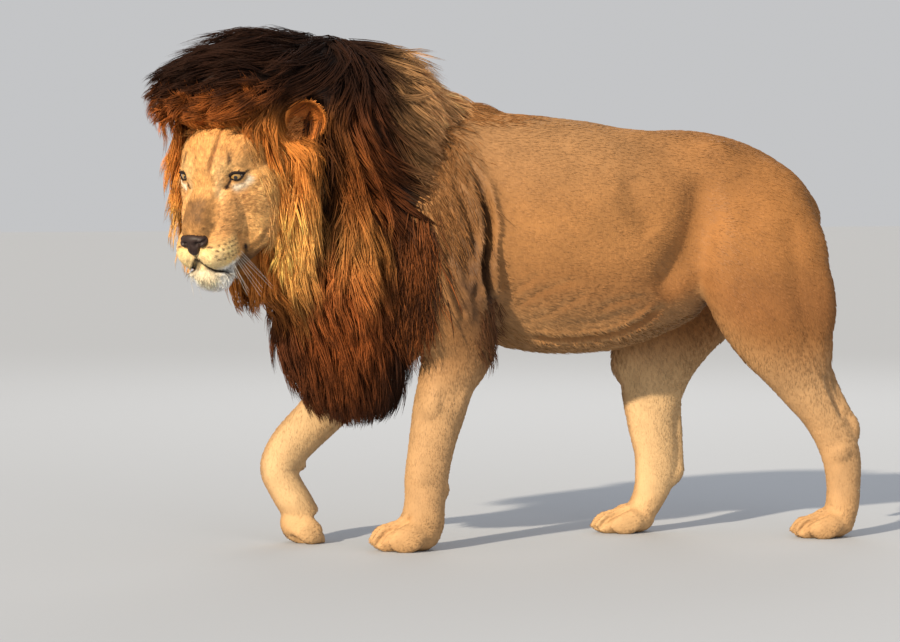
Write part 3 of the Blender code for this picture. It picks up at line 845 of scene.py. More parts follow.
earLook = {
    "place": (-0.200, 0.165, 0.080),
    "heading": 24,
    "pitch": -6,
    "radius": 0.051,
    "wall": 0.0035,
    "depths": (0.046, 0.038),
    "around": 44,
    "rings": 12,
}


def earPlace(side):
    x, y, z = earLook["place"]
    place = head @ Matrix.Translation((x, side * y, z))
    return place @ spun(side * earLook["heading"], "Z") @ spun(earLook["pitch"], "Y")


def earShape(side):
    # A round cup: the back bulges, the inside is scooped out, and the front edge folds in low down
    points, faces = [], []
    around, rings = earLook["around"], earLook["rings"]
    place = earPlace(side)
    for layer, deep in enumerate(earLook["depths"]):
        for j in range(rings):
            t = j / (rings - 1)
            for k in range(around):
                angle = 2 * math.pi * k / around
                y, z = math.cos(angle) * side, math.sin(angle)
                size = (earLook["radius"] - earLook["wall"] * layer) * (1 - 0.10 * smoothStep(-z, 0.2, 1.0))
                radius = size * (1 + 0.035 * math.sin(3 * angle + 0.6)) * (1 - t)
                rimWave = 0.006 * math.cos(2 * angle) - 0.004 * max(0.0, -z)
                x = rimWave * (1 - t) ** 0.5 - deep * (1 - (1 - t) ** 2.2) + 0.006
                points.append(place @ Vector((x, y * radius * 0.98, z * radius * 1.06)))
    wall = rings * around
    for layer in (0, 1):
        quads = ringFaces(rings - 1, around, layer * wall)
        faces += quads if layer else [quad[::-1] for quad in quads]
    for a, b, _, _ in ringFaces(1, around):
        faces.append((a, b, b + wall, a + wall))
    obj = addMesh("ear", points, faces)
    mergeDoubles(obj, 0.0002)
    return obj


headSkin = shapeHead()
rims = lidRims()
ears = [earShape(side) for side in (-1, 1)]
print("stage: head skin", len(headSkin.data.vertices))


# Eyes, nose and whiskers

# The finishes change at these angles from the middle of the pupil
eyeLook = {"sides": 64, "steps": 48, "finishes": (0.21, 0.64, 0.72)}


def makeEyes():
    points, faces, finishes = [], [], []
    sides, steps = eyeLook["sides"], eyeLook["steps"]
    for side in (-1, 1):
        center = fromHead(eyeFrame(side)[0])
        gaze = normalized((0.95, 0.20 + side * 0.16, -0.06))
        first = normalized(np.cross(gaze, (0, 0, 1)))
        second = np.cross(gaze, first)
        faces += ringFaces(steps, sides, len(points))
        for i in range(steps + 1):
            angle = math.pi * (i / steps) ** 1.25
            bulge = 1 + 0.045 * float(fadeOut(angle, 0.35, 0.75))
            for k in range(sides):
                turn = 2 * math.pi * k / sides
                across = first * math.cos(turn) + second * math.sin(turn)
                out = gaze * math.cos(angle) + across * math.sin(angle)
                points.append(center + headTurn @ (out * headLook["eyeball"] * bulge))
        for i in range(steps):
            angle = math.pi * ((i + 0.5) / steps) ** 1.25
            finishes += [int(np.searchsorted(eyeLook["finishes"], angle, "right"))] * sides
    obj = addMesh("eyes", points, faces)
    obj.data.polygons.foreach_set("material_index", np.array(finishes, np.int32))
    mergeDoubles(obj, 0.00002)
    return obj


def makeNose():
    masses = [
        ((0.127, 0, -0.092), (0.0155, 0.031, 0.0165), (0, 20, 0)),
        ((0.133, 0, -0.108), (0.012, 0.016, 0.019), (0, 0, 0)),
        ((0.123, 0.022, -0.094), (0.017, 0.014, 0.015), (0, 20, 0)),
        ((0.123, -0.022, -0.094), (0.017, 0.014, 0.015), (0, 20, 0)),
    ]
    pieces = [blob(center, radii, head, turn, inset=0) for center, radii, turn in masses]
    obj = fuse("noseLeather", pieces, 0.0016, 4)
    points, outward = readInHead(obj)
    for side in (1, -1):
        # nostril, its slit, and the swell below it
        swell(points, outward, (0.143, side * 0.0165, -0.097), (0.010, 0.0070, 0.0058), -0.0080)
        slit = [(0.141, side * 0.019, -0.097), (0.135, side * 0.031, -0.092), (0.122, side * 0.038, -0.089)]
        groove(points, outward, slit, 0.0028, 0.0042, 0.2)
        swell(points, outward, (0.136, side * 0.026, -0.102), (0.010, 0.007, 0.005), 0.0014)
    groove(points, outward, [(0.144, 0, -0.085), (0.146, 0, -0.099), (0.144, 0, -0.125)], 0.0018, 0.0022, 0.2)
    writePoints(obj, fromHead(points))
    return obj


whiskerLook = {"rows": 3, "perRow": 3, "length": 0.070, "thickness": 0.00044, "taper": 0.80}


def makeWhiskers():
    pieces = []
    for side in (1, -1):
        for row in range(whiskerLook["rows"]):
            for k in range(whiskerLook["perRow"]):
                reach = whiskerLook["length"] + 0.008 * k + 0.03 * rng.random()
                start = np.array((0.080 - 0.018 * k, side * (0.062 + 0.002 * k), -0.150 - 0.011 * row))
                out = normalized((0.02 - 0.24 * k, side * (0.10 + 0.25 * rng.random()), -0.90))
                rows = []
                for t in (0, 0.3, 0.65, 1):
                    p = start + out * reach * t + np.array((-0.10, 0, -0.15)) * reach * t * t
                    thick = whiskerLook["thickness"] * (1 - whiskerLook["taper"] * t)
                    rows.append((*p, thick, thick))
                pieces.append(lengthen(tube(rows, (0, 0, 1), steps=4, sides=5, place=head, inset=0)))
    return joinAll("whiskers", pieces)


eyes = makeEyes()
nose = makeNose()
print("stage: eyes and nose")


# Core of the mane

maneLook = {
    "inset": 0.036,
    "voxel": 0.011,
    "gapDepth": 0.054,
    "guides": 2850,
    "length": 0.235,
    "headLength": 0.165,
    "perGuide": 12,
    "stations": 8,
    "rings": 4,
    "width": 0.0025,
    "clump": 0.58,
    "curl": 0.003,
    "perPiece": 7200,
    "whorl": (-0.30, -0.08, 1.25),
}


def within(local, center, radii):
    return (((local - center) / radii) ** 2).sum(-1) < 1


def toEar(world, side):
    return moved(world, earPlace(side).inverted())


def ruffGap(world):
    # The parting behind the ruff on each side
    x, y, z = (world - homeSpot).T
    f, l, u = toHead(world).T
    near = peak((x, -0.364, 0.031)) * smoothStep(-y, 0.10, 0.18)
    near *= band(z, 0.58, 0.66, 0.99, 1.06)
    far = peak((f, -0.19, 0.025)) * smoothStep(-l, 0.12, 0.18)
    far *= band(u, -0.34, -0.26, 0.0, 0.08)
    return np.maximum(near, far)


def maneCore():
    def put(center, radii, place=atHome, turn=(0, 0, 0)):
        return blob(center, radii, place, turn, maneLook["inset"], detail=3)

    pieces = [
        # ruff around the face and the forelock over the brow
        put((-0.190, 0, 0.000), (0.150, 0.222, 0.225), head),
        put((-0.135, 0, 0.130), (0.125, 0.145, 0.085), head, (0, -18, 0)),
        put((-0.132, -0.010, 0.172), (0.150, 0.165, 0.125), head, (0, -30, 0)),
        put((-0.070, -0.055, 0.200), (0.100, 0.085, 0.070), head, (0, -30, 0)),
        put((-0.230, 0.020, 0.200), (0.130, 0.150, 0.110), head),
        put((-0.145, 0.125, -0.140), (0.085, 0.095, 0.150), head),
        put((-0.150, -0.100, -0.020), (0.110, 0.118, 0.190), head),
        put((-0.135, -0.132, -0.140), (0.085, 0.105, 0.140), head),
        put((-0.100, 0, -0.235), (0.105, 0.110, 0.100), head),
        # crest, neck and throat
        put((-0.41, -0.11, 1.03), (0.26, 0.21, 0.275)),
        put((-0.27, -0.06, 1.02), (0.26, 0.215, 0.262), turn=(0, 10, 0)),
        put((-0.315, -0.085, 1.13), (0.165, 0.130, 0.166), turn=(0, 10, 0)),
        put((-0.150, -0.01, 1.03), (0.19, 0.175, 0.190), turn=(0, 16, 0)),
        put((-0.030, -0.005, 1.04), (0.14, 0.115, 0.125), turn=(0, 12, 0)),
        put((-0.31, -0.09, 0.74), (0.20, 0.21, 0.26)),
        # shoulder cape and chest tassel
        put((-0.16, -0.10, 0.82), (0.155, 0.155, 0.25)),
        put((-0.16, 0.06, 0.82), (0.155, 0.185, 0.24)),
        put((-0.285, -0.06, 0.56), (0.195, 0.15, 0.20)),
        put((-0.265, -0.065, 0.44), (0.160, 0.100, 0.12)),
    ]
    core = fuse("maneCore", pieces, maneLook["voxel"], 8)
    # hollows that leave the ears and the face clear
    points, outward = readInHead(core)
    for _ in range(14):
        hollow = within(points, (0.026, 0, -0.035), (0.119, 0.128, 0.190))
        for side in (-1, 1):
            hollow |= within(toEar(fromHead(points), side), (0.045, 0, 0.004), (0.095, 0.078, 0.080))
        points[hollow] -= outward[hollow] * 0.008
    points -= outward * (maneLook["gapDepth"] * ruffGap(fromHead(points)))[:, None]
    writePoints(core, fromHead(points))
    applyModifier(core, "SMOOTH", factor=0.5, iterations=3)
    return core


core = maneCore()
coreTree = treeOf(core)
print("stage: mane core", len(core.data.vertices))


# Markings


def tone(r, g, b):
    # Everyday colour numbers to the renderer's linear ones
    return np.array([((c / 255 + 0.055) / 1.055) ** 2.4 for c in (r, g, b)])


def plain(count, *rgb):
    return np.tile(tone(*rgb), (count, 1))


def mark(color, rgb, amount):
    # Mixes a colour in, by an amount from 0 to 1 at each point
    color += (tone(*rgb) - color) * np.asarray(amount)[:, None]


def mottle(p, size, seed):
    # Soft blotches of about this size, near zero on average
    waves = np.random.default_rng(seed)
    total = np.zeros(len(p))
    for _ in range(14):
        way = waves.normal(size=3)
        way *= 2 * math.pi / size * waves.uniform(0.6, 1.5) / np.linalg.norm(way)
        total += np.sin(p @ way + waves.uniform(0, 2 * math.pi))
    return total / 5.0


def bodyMarkings(world, outward):
    p = world - homeSpot
    x, y, z = p.T
    color = plain(len(p), 160, 113, 66)
    # greyer back, browner rump and flank, pale legs and belly
    mark(color, (156, 118, 80), smoothStep(z, 0.80, 1.04) * 0.8)
    mark(color, (144, 96, 50), smoothStep(x, 0.30, 0.75) * 0.7)
    mark(color, (128, 83, 46), peak((z, 0.60, 0.09)) * smoothStep(x, 0.05, 0.15) * 0.6)
    low = fadeOut(z, 0.36, 0.54)
    mark(color, (188, 152, 110), low * 0.75)
    belly = fadeOut(outward[:, 2], -0.75, -0.15) * smoothStep(z, 0.40, 0.46)
    mark(color, (184, 144, 98), belly * 0.5)
    inner = fadeOut(outward[:, 1] * np.sign(y - 0.0001), -0.7, -0.1) * low
    mark(color, (222, 190, 142), inner * 0.5)
    # painted shade behind the elbows, where the hair is also darker, and painted shade over the shoulders and
    # in the shoulder's pleat
    for side, back in ((-1, 0.045), (1, -0.01)):
        elbow = peak((x, back, 0.05), (y, side * 0.15, 0.08), (z, 0.56, 0.09))
        mark(color, (96, 62, 42), np.clip(elbow * 0.8, 0, 0.7))
        shoulder = peak((x + 0.055, back, 0.065), (z, 0.70, 0.20)) * smoothStep(y * side, 0.10, 0.16)
        mark(color, (78, 54, 36), np.clip(shoulder * (0.9 + 0.3 * mottle(p, 0.05, 11)), 0, 0.92))
        # painted shade in the crease of the shoulder's pleat
        crease = np.interp(z, (0.60, 0.70, 0.81, 0.92), (0.050, 0.030, 0.039, 0.016))
        pleat = peak((x - crease + 0.045, back, 0.012)) * band(z, 0.56, 0.62, 0.88, 0.94)
        mark(color, (52, 33, 24), pleat * smoothStep(y * side, 0.10, 0.14) * 0.75)
    mark(color, (58, 38, 28), smoothStep(x, 0.95, 0.97) * fadeOut(z, 0.36, 0.44) * smoothStep(y, 0.0, 0.03))
    mark(color, (192, 150, 102), fadeOut(z, 0.05, 0.13) * 0.5)
    shade = 1 + 0.07 * mottle(p, 0.16, 3) + 0.05 * mottle(p, 0.035, 4)
    return color * shade[:, None]


def eyeMarkings(color, p, side):
    # Pale line beside the nose, white crescent below, dark rim, tear line, outer streak and brow spot
    inner = [(0.004, side * 0.034, 0.036), (0.020, side * 0.036, 0.000), (0.040, side * 0.038, -0.034)]
    mark(color, (238, 200, 146), stroke(p, inner, 0.012) * 0.75)
    crescent = [(0.006, side * 0.066, -0.027), (-0.006, side * 0.080, -0.025), (-0.018, side * 0.092, -0.016)]
    mark(color, (250, 238, 214), np.clip(stroke(p, crescent, 0.0085) * 1.2, 0, 1))
    r, ahead, _, _, off = aroundEye(p, side)
    mark(color, (34, 22, 18), fadeOut(off, 0.10, 0.24) * ((r < 0.030) & (ahead > -0.005)))
    tear = [(0.004, side * 0.058, -0.004), (0.013, side * 0.055, -0.011), (0.022, side * 0.051, -0.022)]
    streak = [(-0.012, side * 0.087, 0.004), (-0.026, side * 0.096, 0.006)]
    spot = [(0.006, side * 0.062, 0.034), (-0.005, side * 0.060, 0.050)]
    for path, width, strength in ((tear, 0.0055, 1.4), (streak, 0.0022, 1.4), (spot, 0.0058, 0.9)):
        mark(color, (62, 40, 28), np.clip(stroke(p, path, width) * strength, 0, 1))


def mouthMarkings(color, p, side):
    # Whisker spots and dark lips, with painted shade along the corner's fold and in the crease behind the
    # whisker pad
    f, l, u = p.T
    spots = np.zeros(len(p))
    for ahead, high in whiskerSpots():
        spots = np.maximum(spots, peak((f, ahead, 0.0030), (u, high, 0.0026)))
    mark(color, (84, 54, 34), np.clip(spots * (l * side > 0.03) * 1.3, 0, 0.85))
    mark(color, (42, 26, 20), np.clip(stroke(p, mouthPath(side), 0.0080) * 1.5, 0, 1))
    # painted shade along the fold at the mouth's corner
    corner = [(0.022, side * 0.072, -0.178), (-0.004, side * 0.094, -0.150), (-0.022, side * 0.108, -0.128)]
    mark(color, (112, 66, 38), stroke(p, corner, 0.009) * 0.8)
    # painted shade in the crease behind the whisker pad
    pad = [(0.048, side * 0.056, -0.085), (0.038, side * 0.066, -0.115), (0.036, side * 0.068, -0.150)]
    mark(color, (150, 96, 54), stroke(p, pad, 0.008) * 0.3)


def faceMarkings(world):
    p = toHead(world)
    f, l, u = p.T
    a = np.abs(l)
    color = plain(len(p), 208, 154, 92)
    # warmer forehead, pale brow and grey-brown nose bridge
    mark(color, (234, 166, 94), smoothStep(u, 0.03, 0.12) * 0.7)
    mark(color, (226, 184, 124), peak((a, 0.050, 0.030), (u, 0.022, 0.018)) * 0.8)
    bridge = fadeOut(a, 0.018, 0.044) * smoothStep(f, 0.058, 0.090) * (1 - smoothStep(f, 0.116, 0.130) * 0.5)
    mark(color, (104, 72, 42), bridge * 0.80)
    # side of the nose, gold cheek and the patch in front of it
    flank = smoothStep(a, 0.034, 0.052) * smoothStep(f, -0.03, 0.02) * band(u, -0.125, -0.095, -0.042, -0.024)
    mark(color, (206, 158, 106), flank * 0.3)
    mark(color, (248, 192, 120), smoothStep(a, 0.06, 0.10) * fadeOut(u, -0.02, 0.03) * 0.8)
    patchy = peak((f, -0.006, 0.036), (u, -0.054, 0.030)) * smoothStep(a, 0.055, 0.080)
    mark(color, (150, 96, 54), np.clip(patchy * (0.40 + 0.6 * mottle(p, 0.010, 9)), 0, 0.6))
    # cream muzzle, white chin, painted shadow on the jaw behind it, and pale front of the lips
    muzzle = smoothStep(f, 0.030, 0.085) * fadeOut(u, -0.124, -0.092)
    mark(color, (255, 218, 150), muzzle * 0.95)
    chin = fadeOut(u, -0.176, -0.160) * smoothStep(f, 0.036, 0.066)
    mark(color, (255, 254, 248), chin)
    # painted shadow behind the chin, at the mouth's corner
    mark(color, (74, 46, 30), band(f, -0.06, -0.02, 0.044, 0.070) * fadeOut(u, -0.180, -0.160) * 0.8)
    mark(color, (242, 216, 164), smoothStep(f, 0.098, 0.118) * fadeOut(u, -0.128, -0.108) * 0.7)
    for side, frown in ((-1, 0.25), (1, 0.85)):
        eyeMarkings(color, p, side)
        # painted shade along the frown crease, stronger on the far side
        mark(color, (128, 78, 40), stroke(p, frownPath(side), 0.0052) * frown)
        mouthMarkings(color, p, side)
    speckle = smoothStep(a, 0.030, 0.050) * smoothStep(f, -0.07, -0.01) * band(u, -0.14, -0.10, -0.04, -0.02)
    mark(color, (120, 78, 46), np.clip(mottle(p, 0.0065, 15) - 0.35, 0, 0.7) * speckle)
    fleck = mottle(p, 0.008, 5) + 0.8 * mottle(p, 0.022, 6)
    white = np.clip(chin + muzzle * 0.5, 0, 1)
    return color * (1 + 0.21 * fleck * (1 - 0.8 * white))[:, None]


def earMarkings(world):
    # Orange rim and back, browner cup, and painted shade where the ear opens
    color = plain(len(world), 214, 132, 58)
    for side in (-1, 1):
        local = toEar(world, side)
        cup = (np.linalg.norm(local, axis=1) < 0.09) & (np.hypot(local[:, 1], local[:, 2]) < 0.043)
        mark(color, (176, 100, 44), cup * 0.7)
        # painted shade in the ear's opening
        canal = np.hypot(local[:, 1] + side * 0.010, local[:, 2] + 0.018)
        mark(color, (30, 18, 14), fadeOut(canal, 0.008, 0.026) * cup * 0.95)
    return color


def maneTone(world):
    # Golden round the face, red-brown on the chest, near black over the crest and shoulders
    p = world - homeSpot
    x, y, z = p.T
    f, l, u = toHead(world).T
    color = plain(len(p), 92, 50, 26)
    front = smoothStep(f, -0.25, -0.13) * smoothStep(u, -0.36, -0.24)
    mark(color, (226, 142, 64), front * fadeOut(u, 0.08, 0.15) * 0.95)
    ruff = front * smoothStep(np.abs(l), 0.07, 0.12) * fadeOut(u, -0.02, 0.06)
    mark(color, (234, 152, 72), ruff * 0.9)
    mark(color, (255, 196, 110), ruff * fadeOut(u, -0.17, -0.03) * 0.95)
    # streaky red-brown hair under the forelock, and the dark crest
    streaks = np.clip(0.72 + 0.55 * mottle(p * (1, 1, 0.35), 0.035, 16), 0.15, 1)
    fringe = 0.8 * smoothStep(f, -0.17, -0.06) * band(u, 0.06, 0.12, 0.165, 0.24) * streaks
    mark(color, (190, 106, 44), fringe)
    mark(color, (34, 19, 12), smoothStep(z, 1.02, 1.12) * 0.92 * (1 - fringe))
    # lighter side of the neck, painted shadow in the parting behind the ruff, shoulders, pale withers, chest
    # and tassel
    side = peak((x, -0.31, 0.08), (z, 0.86, 0.15)) * smoothStep(-y, 0.12, 0.22)
    mark(color, (158, 86, 36), side * 0.8)
    # painted shadow in the parting behind the ruff
    mark(color, (30, 17, 11), ruffGap(world) * 0.95)
    mark(color, (46, 28, 19), smoothStep(x, -0.26, -0.14) * 0.85)
    reach = x - 0.25 * (1.121 - np.minimum(z, 1.121)) + 0.03 * mottle(p, 0.08, 12)
    mark(color, (238, 182, 124), smoothStep(reach, -0.22, -0.10) * smoothStep(z, 0.81, 0.90) * 0.95)
    chest = fadeOut(z, 0.66, 0.80) * fadeOut(np.abs(x + 0.32), 0.04, 0.13)
    mark(color, (174, 96, 46), chest * 0.8)
    mark(color, (40, 24, 16), fadeOut(z, 0.42, 0.54) * 0.75)
    return color * (1 + 0.16 * mottle(p, 0.10, 8))[:, None]


def paint(obj, colors):
    layer = obj.data.color_attributes.new(name="markings", type="FLOAT_COLOR", domain="POINT")
    rgba = np.ones((len(colors), 4), np.float32)
    rgba[:, :3] = np.clip(colors, 0, 1)
    layer.data.foreach_set("color", rgba.ravel())


applyModifier(body, "DECIMATE", ratio=bodyLook["facesKept"])
applyModifier(headSkin, "DECIMATE", ratio=headLook["facesKept"])
paint(body, bodyMarkings(readPoints(body), readNormals(body)))
paint(headSkin, faceMarkings(readPoints(headSkin)))
for ear in ears:
    paint(ear, earMarkings(readPoints(ear)))
for rim in rims:
    paint(rim, plain(len(rim.data.vertices), 30, 20, 17))
# the mane's core is painted darker than its hair: painted shade in the depths between the locks
paint(core, maneTone(readPoints(core)) * 0.45)


# One skin

zones = {"body": [body], "head": [headSkin], "ears": ears, "mane": [core], "rims": rims}


def joinSkin():
    for number, objs in enumerate(zones.values()):
        for obj in objs:
            layer = obj.data.attributes.new(name="zone", type="FLOAT", domain="POINT")
            layer.data.foreach_set("value", np.full(len(obj.data.vertices), number, np.float32))
    obj = joinAll("skin", [body, headSkin, *ears, core, *rims])
    bpy.ops.object.shade_smooth()
    bpy.ops.object.mode_set(mode="EDIT")
    bpy.ops.mesh.select_all(action="SELECT")
    bpy.ops.mesh.quads_convert_to_tris()
    bpy.ops.uv.smart_project(angle_limit=math.radians(66), island_margin=0.002)
    bpy.ops.object.mode_set(mode="OBJECT")
    obj.data.uv_layers.active.name = "OFBake"
    return obj


def readSkin():
    mesh = skin.data
    points = readPoints(skin)
    corners = readValues(mesh.polygons, "vertices", 3, np.int32)
    a, b, c = (points[corners[:, k]] for k in range(3))
    zone = readValues(mesh.attributes["zone"].data, "value")[corners[:, 0]].round()
    return {
        "corners": corners,
        "points": points,
        "normals": readNormals(skin),
        "uv": readValues(mesh.uv_layers["OFBake"].data, "uv", 6).reshape(-1, 3, 2).astype(float),
        "colors": readValues(mesh.color_attributes["markings"].data, "color", 4)[:, :3].astype(float),
        "area": np.linalg.norm(np.cross(b - a, c - a), axis=1) / 2,
        "middle": (a + b + c) / 3,
        **{name: zone == number for number, name in enumerate(zones)},
    }


skin = joinSkin()
ground = readSkin()
print("stage: skin joined", len(skin.data.polygons))


# Coat

coatPieces = []
coatLook = {
    "uvPatch": 0.003,
    "sunk": 0.0008,
    # how far a hair may stand past the model's outline, and the margin over which it bends in
    "proud": 0.014,
    "margin": 0.03,
    # how deep inside the mane's core counts as covered, and how far that is looked for
    "covered": -0.002,
    "search": 0.30,
}


def buried(points, tree):
    # True where a point lies inside the closed surface
    out = np.zeros(len(points), bool)
    for i, p in enumerate(points):
        spot, normal, _, _ = tree.find_nearest(p, coatLook["search"])
        if spot is not None:
            out[i] = (Vector(p) - spot).dot(normal) < coatLook["covered"]
    return out


def sow(count, weight):
    # Roots spread over the skin, more where the weight is high
    chance = ground["area"] * weight
    picks = rng.choice(len(chance), count, p=chance / chance.sum())
    u, v = rng.random(count), rng.random(count)
    fold = u + v > 1
    u[fold], v[fold] = 1 - u[fold], 1 - v[fold]
    w = np.stack([1 - u - v, u, v], 1)[:, :, None]
    corners = ground["corners"][picks]
    return {
        "place": (ground["points"][corners] * w).sum(1),
        "normal": unit((ground["normals"][corners] * w).sum(1)),
        "color": (ground["colors"][corners] * w).sum(1),
        "uv": (ground["uv"][picks] * w).sum(1),
    }


def unit(v):
    return v / (np.linalg.norm(v, axis=-1, keepdims=True) + 1e-9)


def combed(flow, normal):
    # The part of a flow that lies along the skin
    return unit(flow - normal * (flow * normal).sum(-1, keepdims=True))


def keepInside(points):
    # Tips stay above the floor and by the model's own outline
    margin = coatLook["margin"]
    points[:, 2] = np.maximum(points[:, 2], pose["soleHeight"])
    for axis in (0, 1):
        for sign, edge in ((-1, cadBox[0][axis]), (1, cadBox[1][axis])):
            over = sign * (points[:, axis] - edge) - coatLook["proud"] + margin
            points[:, axis] += sign * np.where(over > 0, margin * np.tanh(over / margin) - over, 0)


def addHairs(name, points, faces, colors, uv, offsets):
    # One piece from every hair's points and colours, each hair with the same faces and UV offsets
    count, per, _ = points.shape
    points, colors = points.reshape(-1, 3), colors.reshape(-1, 3)
    faces = (np.arange(count)[:, None, None] * per + np.array(faces)).reshape(-1, 3)
    uvs = np.clip(uv[:, None] + np.array(offsets), 0, 1).reshape(-1, 2)
    keepInside(points)
    mesh = bpy.data.meshes.new(name)
    mesh.vertices.add(len(points))
    mesh.vertices.foreach_set("co", flat(points))
    mesh.loops.add(faces.size)
    mesh.loops.foreach_set("vertex_index", flat(faces, np.int32))
    mesh.polygons.add(len(faces))
    mesh.polygons.foreach_set("loop_start", np.arange(0, faces.size, 3, dtype=np.int32))
    mesh.polygons.foreach_set("use_smooth", np.ones(len(faces), bool))
    layer = mesh.uv_layers.new(name="OFBake")
    layer.data.foreach_set("uv", flat(uvs[faces.ravel()]))
    mesh.update(calc_edges=True)
    obj = addObject(name, mesh)
    paint(obj, colors)
    coatPieces.append(obj)


def plantTufts(name, roots, flow, length, width, lift, shade):
    # Each tuft is a small three-sided blade, flat to the skin at its root
    place, normal = roots["place"], roots["normal"]
    along = combed(flow, normal)
    across = np.cross(along, normal)
    length, width, lift = (values[:, None] for values in (length, width, lift))
    points = np.stack([
        place - across * width / 2 - normal * coatLook["sunk"],
        place + across * width / 2 - normal * coatLook["sunk"],
        place + along * length * 0.45 + normal * (length * lift * 0.75 + width * 0.12),
        place + along * length + normal * length * lift,
    ], 1)
    # darker at the root, lighter at the tip
    color = np.repeat((roots["color"] * shade[:, None])[:, None], 4, 1)
    color[:, :2] *= 0.86
    color[:, 3] *= 1.06
    side = coatLook["uvPatch"]
    offsets = [(0, 0), (side, 0), (side * 0.5, side * 0.5), (side * 0.5, side)]
    addHairs(name, points, [(0, 1, 2), (1, 3, 2), (0, 2, 3)], color, roots["uv"], offsets)


def growStrands(name, paths, normal, width, color, uv):
    # Tapered three-sided strands: paths is count x stations x 3, the last station being the tip
    rings = paths.shape[1] - 1
    along = unit(np.gradient(paths, axis=1))
    across = unit(np.cross(along, normal))
    upward = np.cross(across, along)
    points = []
    for k in range(3):
        angle = math.pi / 2 + 2 * math.pi * k / 3
        side = across[:, :rings] * math.cos(angle) + upward[:, :rings] * math.sin(angle) * 0.6
        points.append(paths[:, :rings] + side * (width[:, :rings, None] / 2))
    points = np.stack(points, 2).reshape(len(paths), rings * 3, 3)
    points = np.concatenate([points, paths[:, -1:]], 1)
    colors = np.concatenate([np.repeat(color[:, :rings], 3, 1), color[:, -1:]], 1)
    faces = []
    for a, b, c, d in ringFaces(rings - 1, 3):
        faces += [(a, b, c), (a, c, d)]
    tip = rings * 3
    faces += [(tip - 3 + k, tip - 3 + (k + 1) % 3, tip) for k in range(3)]
    side = coatLook["uvPatch"]
    offsets = [(side * k / 2, side * j / rings) for j in range(rings) for k in range(3)] + [(side / 2, side)]
    addHairs(name, points, faces, colors, uv, offsets)


# Short coat of the body

bodyCoat = {"count": 87000, "pieces": 2, "length": 0.0135, "stray": 0.10}


def bodyFlow(place):
    p = place - homeSpot
    x, y, z = p.T
    trunkWay = np.stack([np.ones(len(p)), np.sign(y) * 0.15, -0.30 - 0.5 * smoothStep(x, 0.5, 0.8)], 1)
    legWay, footWay = np.array((0.12, 0.0, -1.0)), np.array((-1.0, 0.0, -0.35))
    low = fadeOut(z, 0.42, 0.66)[:, None]
    foot = fadeOut(z, 0.05, 0.11)[:, None]
    shoulder = (fadeOut(x, 0.0, 0.12) * smoothStep(z, 0.5, 0.7))[:, None]
    flow = trunkWay * (1 - low) + legWay * low
    flow = flow * (1 - shoulder * 0.7) + legWay * shoulder * 0.7
    return unit(flow * (1 - foot) + footWay * foot)


def growBody():
    # Thicker on the legs, none under the mane or the soles
    x, y, z = (ground["middle"] - homeSpot).T
    weight = ground["body"].astype(float)
    weight[ground["body"] & (z < 0.30)] = 1.8
    nearMane = np.flatnonzero(ground["body"] & (x < 0.06))
    weight[nearMane[buried(ground["middle"][nearMane], coreTree)]] = 0
    weight[ground["body"] & (z < 0.006)] = 0
    count = bodyCoat["count"] // bodyCoat["pieces"]
    for i in range(bodyCoat["pieces"]):
        roots = sow(count, weight)
        x, y, z = (roots["place"] - homeSpot).T
        length = bodyCoat["length"] + 0.004 * smoothStep(z, 0.9, 1.05) - 0.006 * fadeOut(z, 0.15, 0.5)
        length += 0.010 * fadeOut(roots["normal"][:, 2], -0.9, -0.3) * smoothStep(z, 0.42, 0.48)
        length *= rng.uniform(0.7, 1.25, count)
        width = length * rng.uniform(0.20, 0.30, count)
        flow = bodyFlow(roots["place"]) + rng.normal(0, bodyCoat["stray"], (count, 3))
        flow[:, 2] += 0.10 * (np.sin(x * 9 + 2) * np.cos(z * 8 + y * 5))
        shade = rng.uniform(0.84, 1.14, count)
        roots["color"] = bodyMarkings(roots["place"], roots["normal"])
        lift = rng.uniform(0.07, 0.16, count)
        plantTufts("bodyCoat%d" % (i + 1), roots, flow, length, width, lift, shade)


growBody()
print("stage: body coat")


# Short coat of the face and ears

faceCoat = {"count": 50000, "length": 0.0068, "stray": 0.08, "parting": (0.150, 0, -0.075)}
earCoat = {"count": 11000, "length": 0.008, "width": 0.16}


def growFace():
    # None on the eyeballs and the lids' edges, or under the mane
    weight = np.zeros(len(ground["area"]))
    local = toHead(ground["middle"])
    onHead = ground["head"] & (local[:, 0] > -0.17)
    weight[onHead] = 1.0
    for side in (-1, 1):
        r, ahead, _, _, off = aroundEye(local, side)
        weight[(r < 0.032) & (ahead > 0) & (off < 0.12)] = 0
    hidden = np.flatnonzero(onHead & (local[:, 0] < -0.02))
    weight[hidden[buried(ground["middle"][hidden], coreTree)]] = 0
    count = faceCoat["count"]
    roots = sow(count, weight)
    p = toHead(roots["place"])
    f, l, u = p.T
    # back from the nose, down the chin and cheeks
    way = unit(p - faceCoat["parting"])
    way = way + np.stack([-0.3 * np.ones(count), 0.10 * np.sign(l), np.zeros(count)], 1)
    chin = fadeOut(u, -0.180, -0.160) * smoothStep(f, -0.05, 0.02)
    way = way * (1 - chin)[:, None] + np.array((-0.4, 0, -1.0)) * chin[:, None]
    cheek = smoothStep(np.abs(l), 0.07, 0.11) * fadeOut(u, -0.02, 0.03)
    way = way + cheek[:, None] * (-0.2, 0, -0.8)
    flow = way @ headTurn.T + rng.normal(0, faceCoat["stray"], (count, 3))
    length = faceCoat["length"] + 0.004 * smoothStep(-f, 0.0, 0.10) + 0.012 * smoothStep(u, 0.070, 0.115)
    length = (length + 0.010 * chin * fadeOut(u, -0.235, -0.19)) * rng.uniform(0.7, 1.25, count)
    roots["color"] = faceMarkings(roots["place"])
    width = length * rng.uniform(0.20, 0.28, count)
    lift = rng.uniform(0.10, 0.24, count) + 0.12 * chin
    plantTufts("faceCoat", roots, flow, length, width, lift, rng.uniform(0.72, 1.18, count))


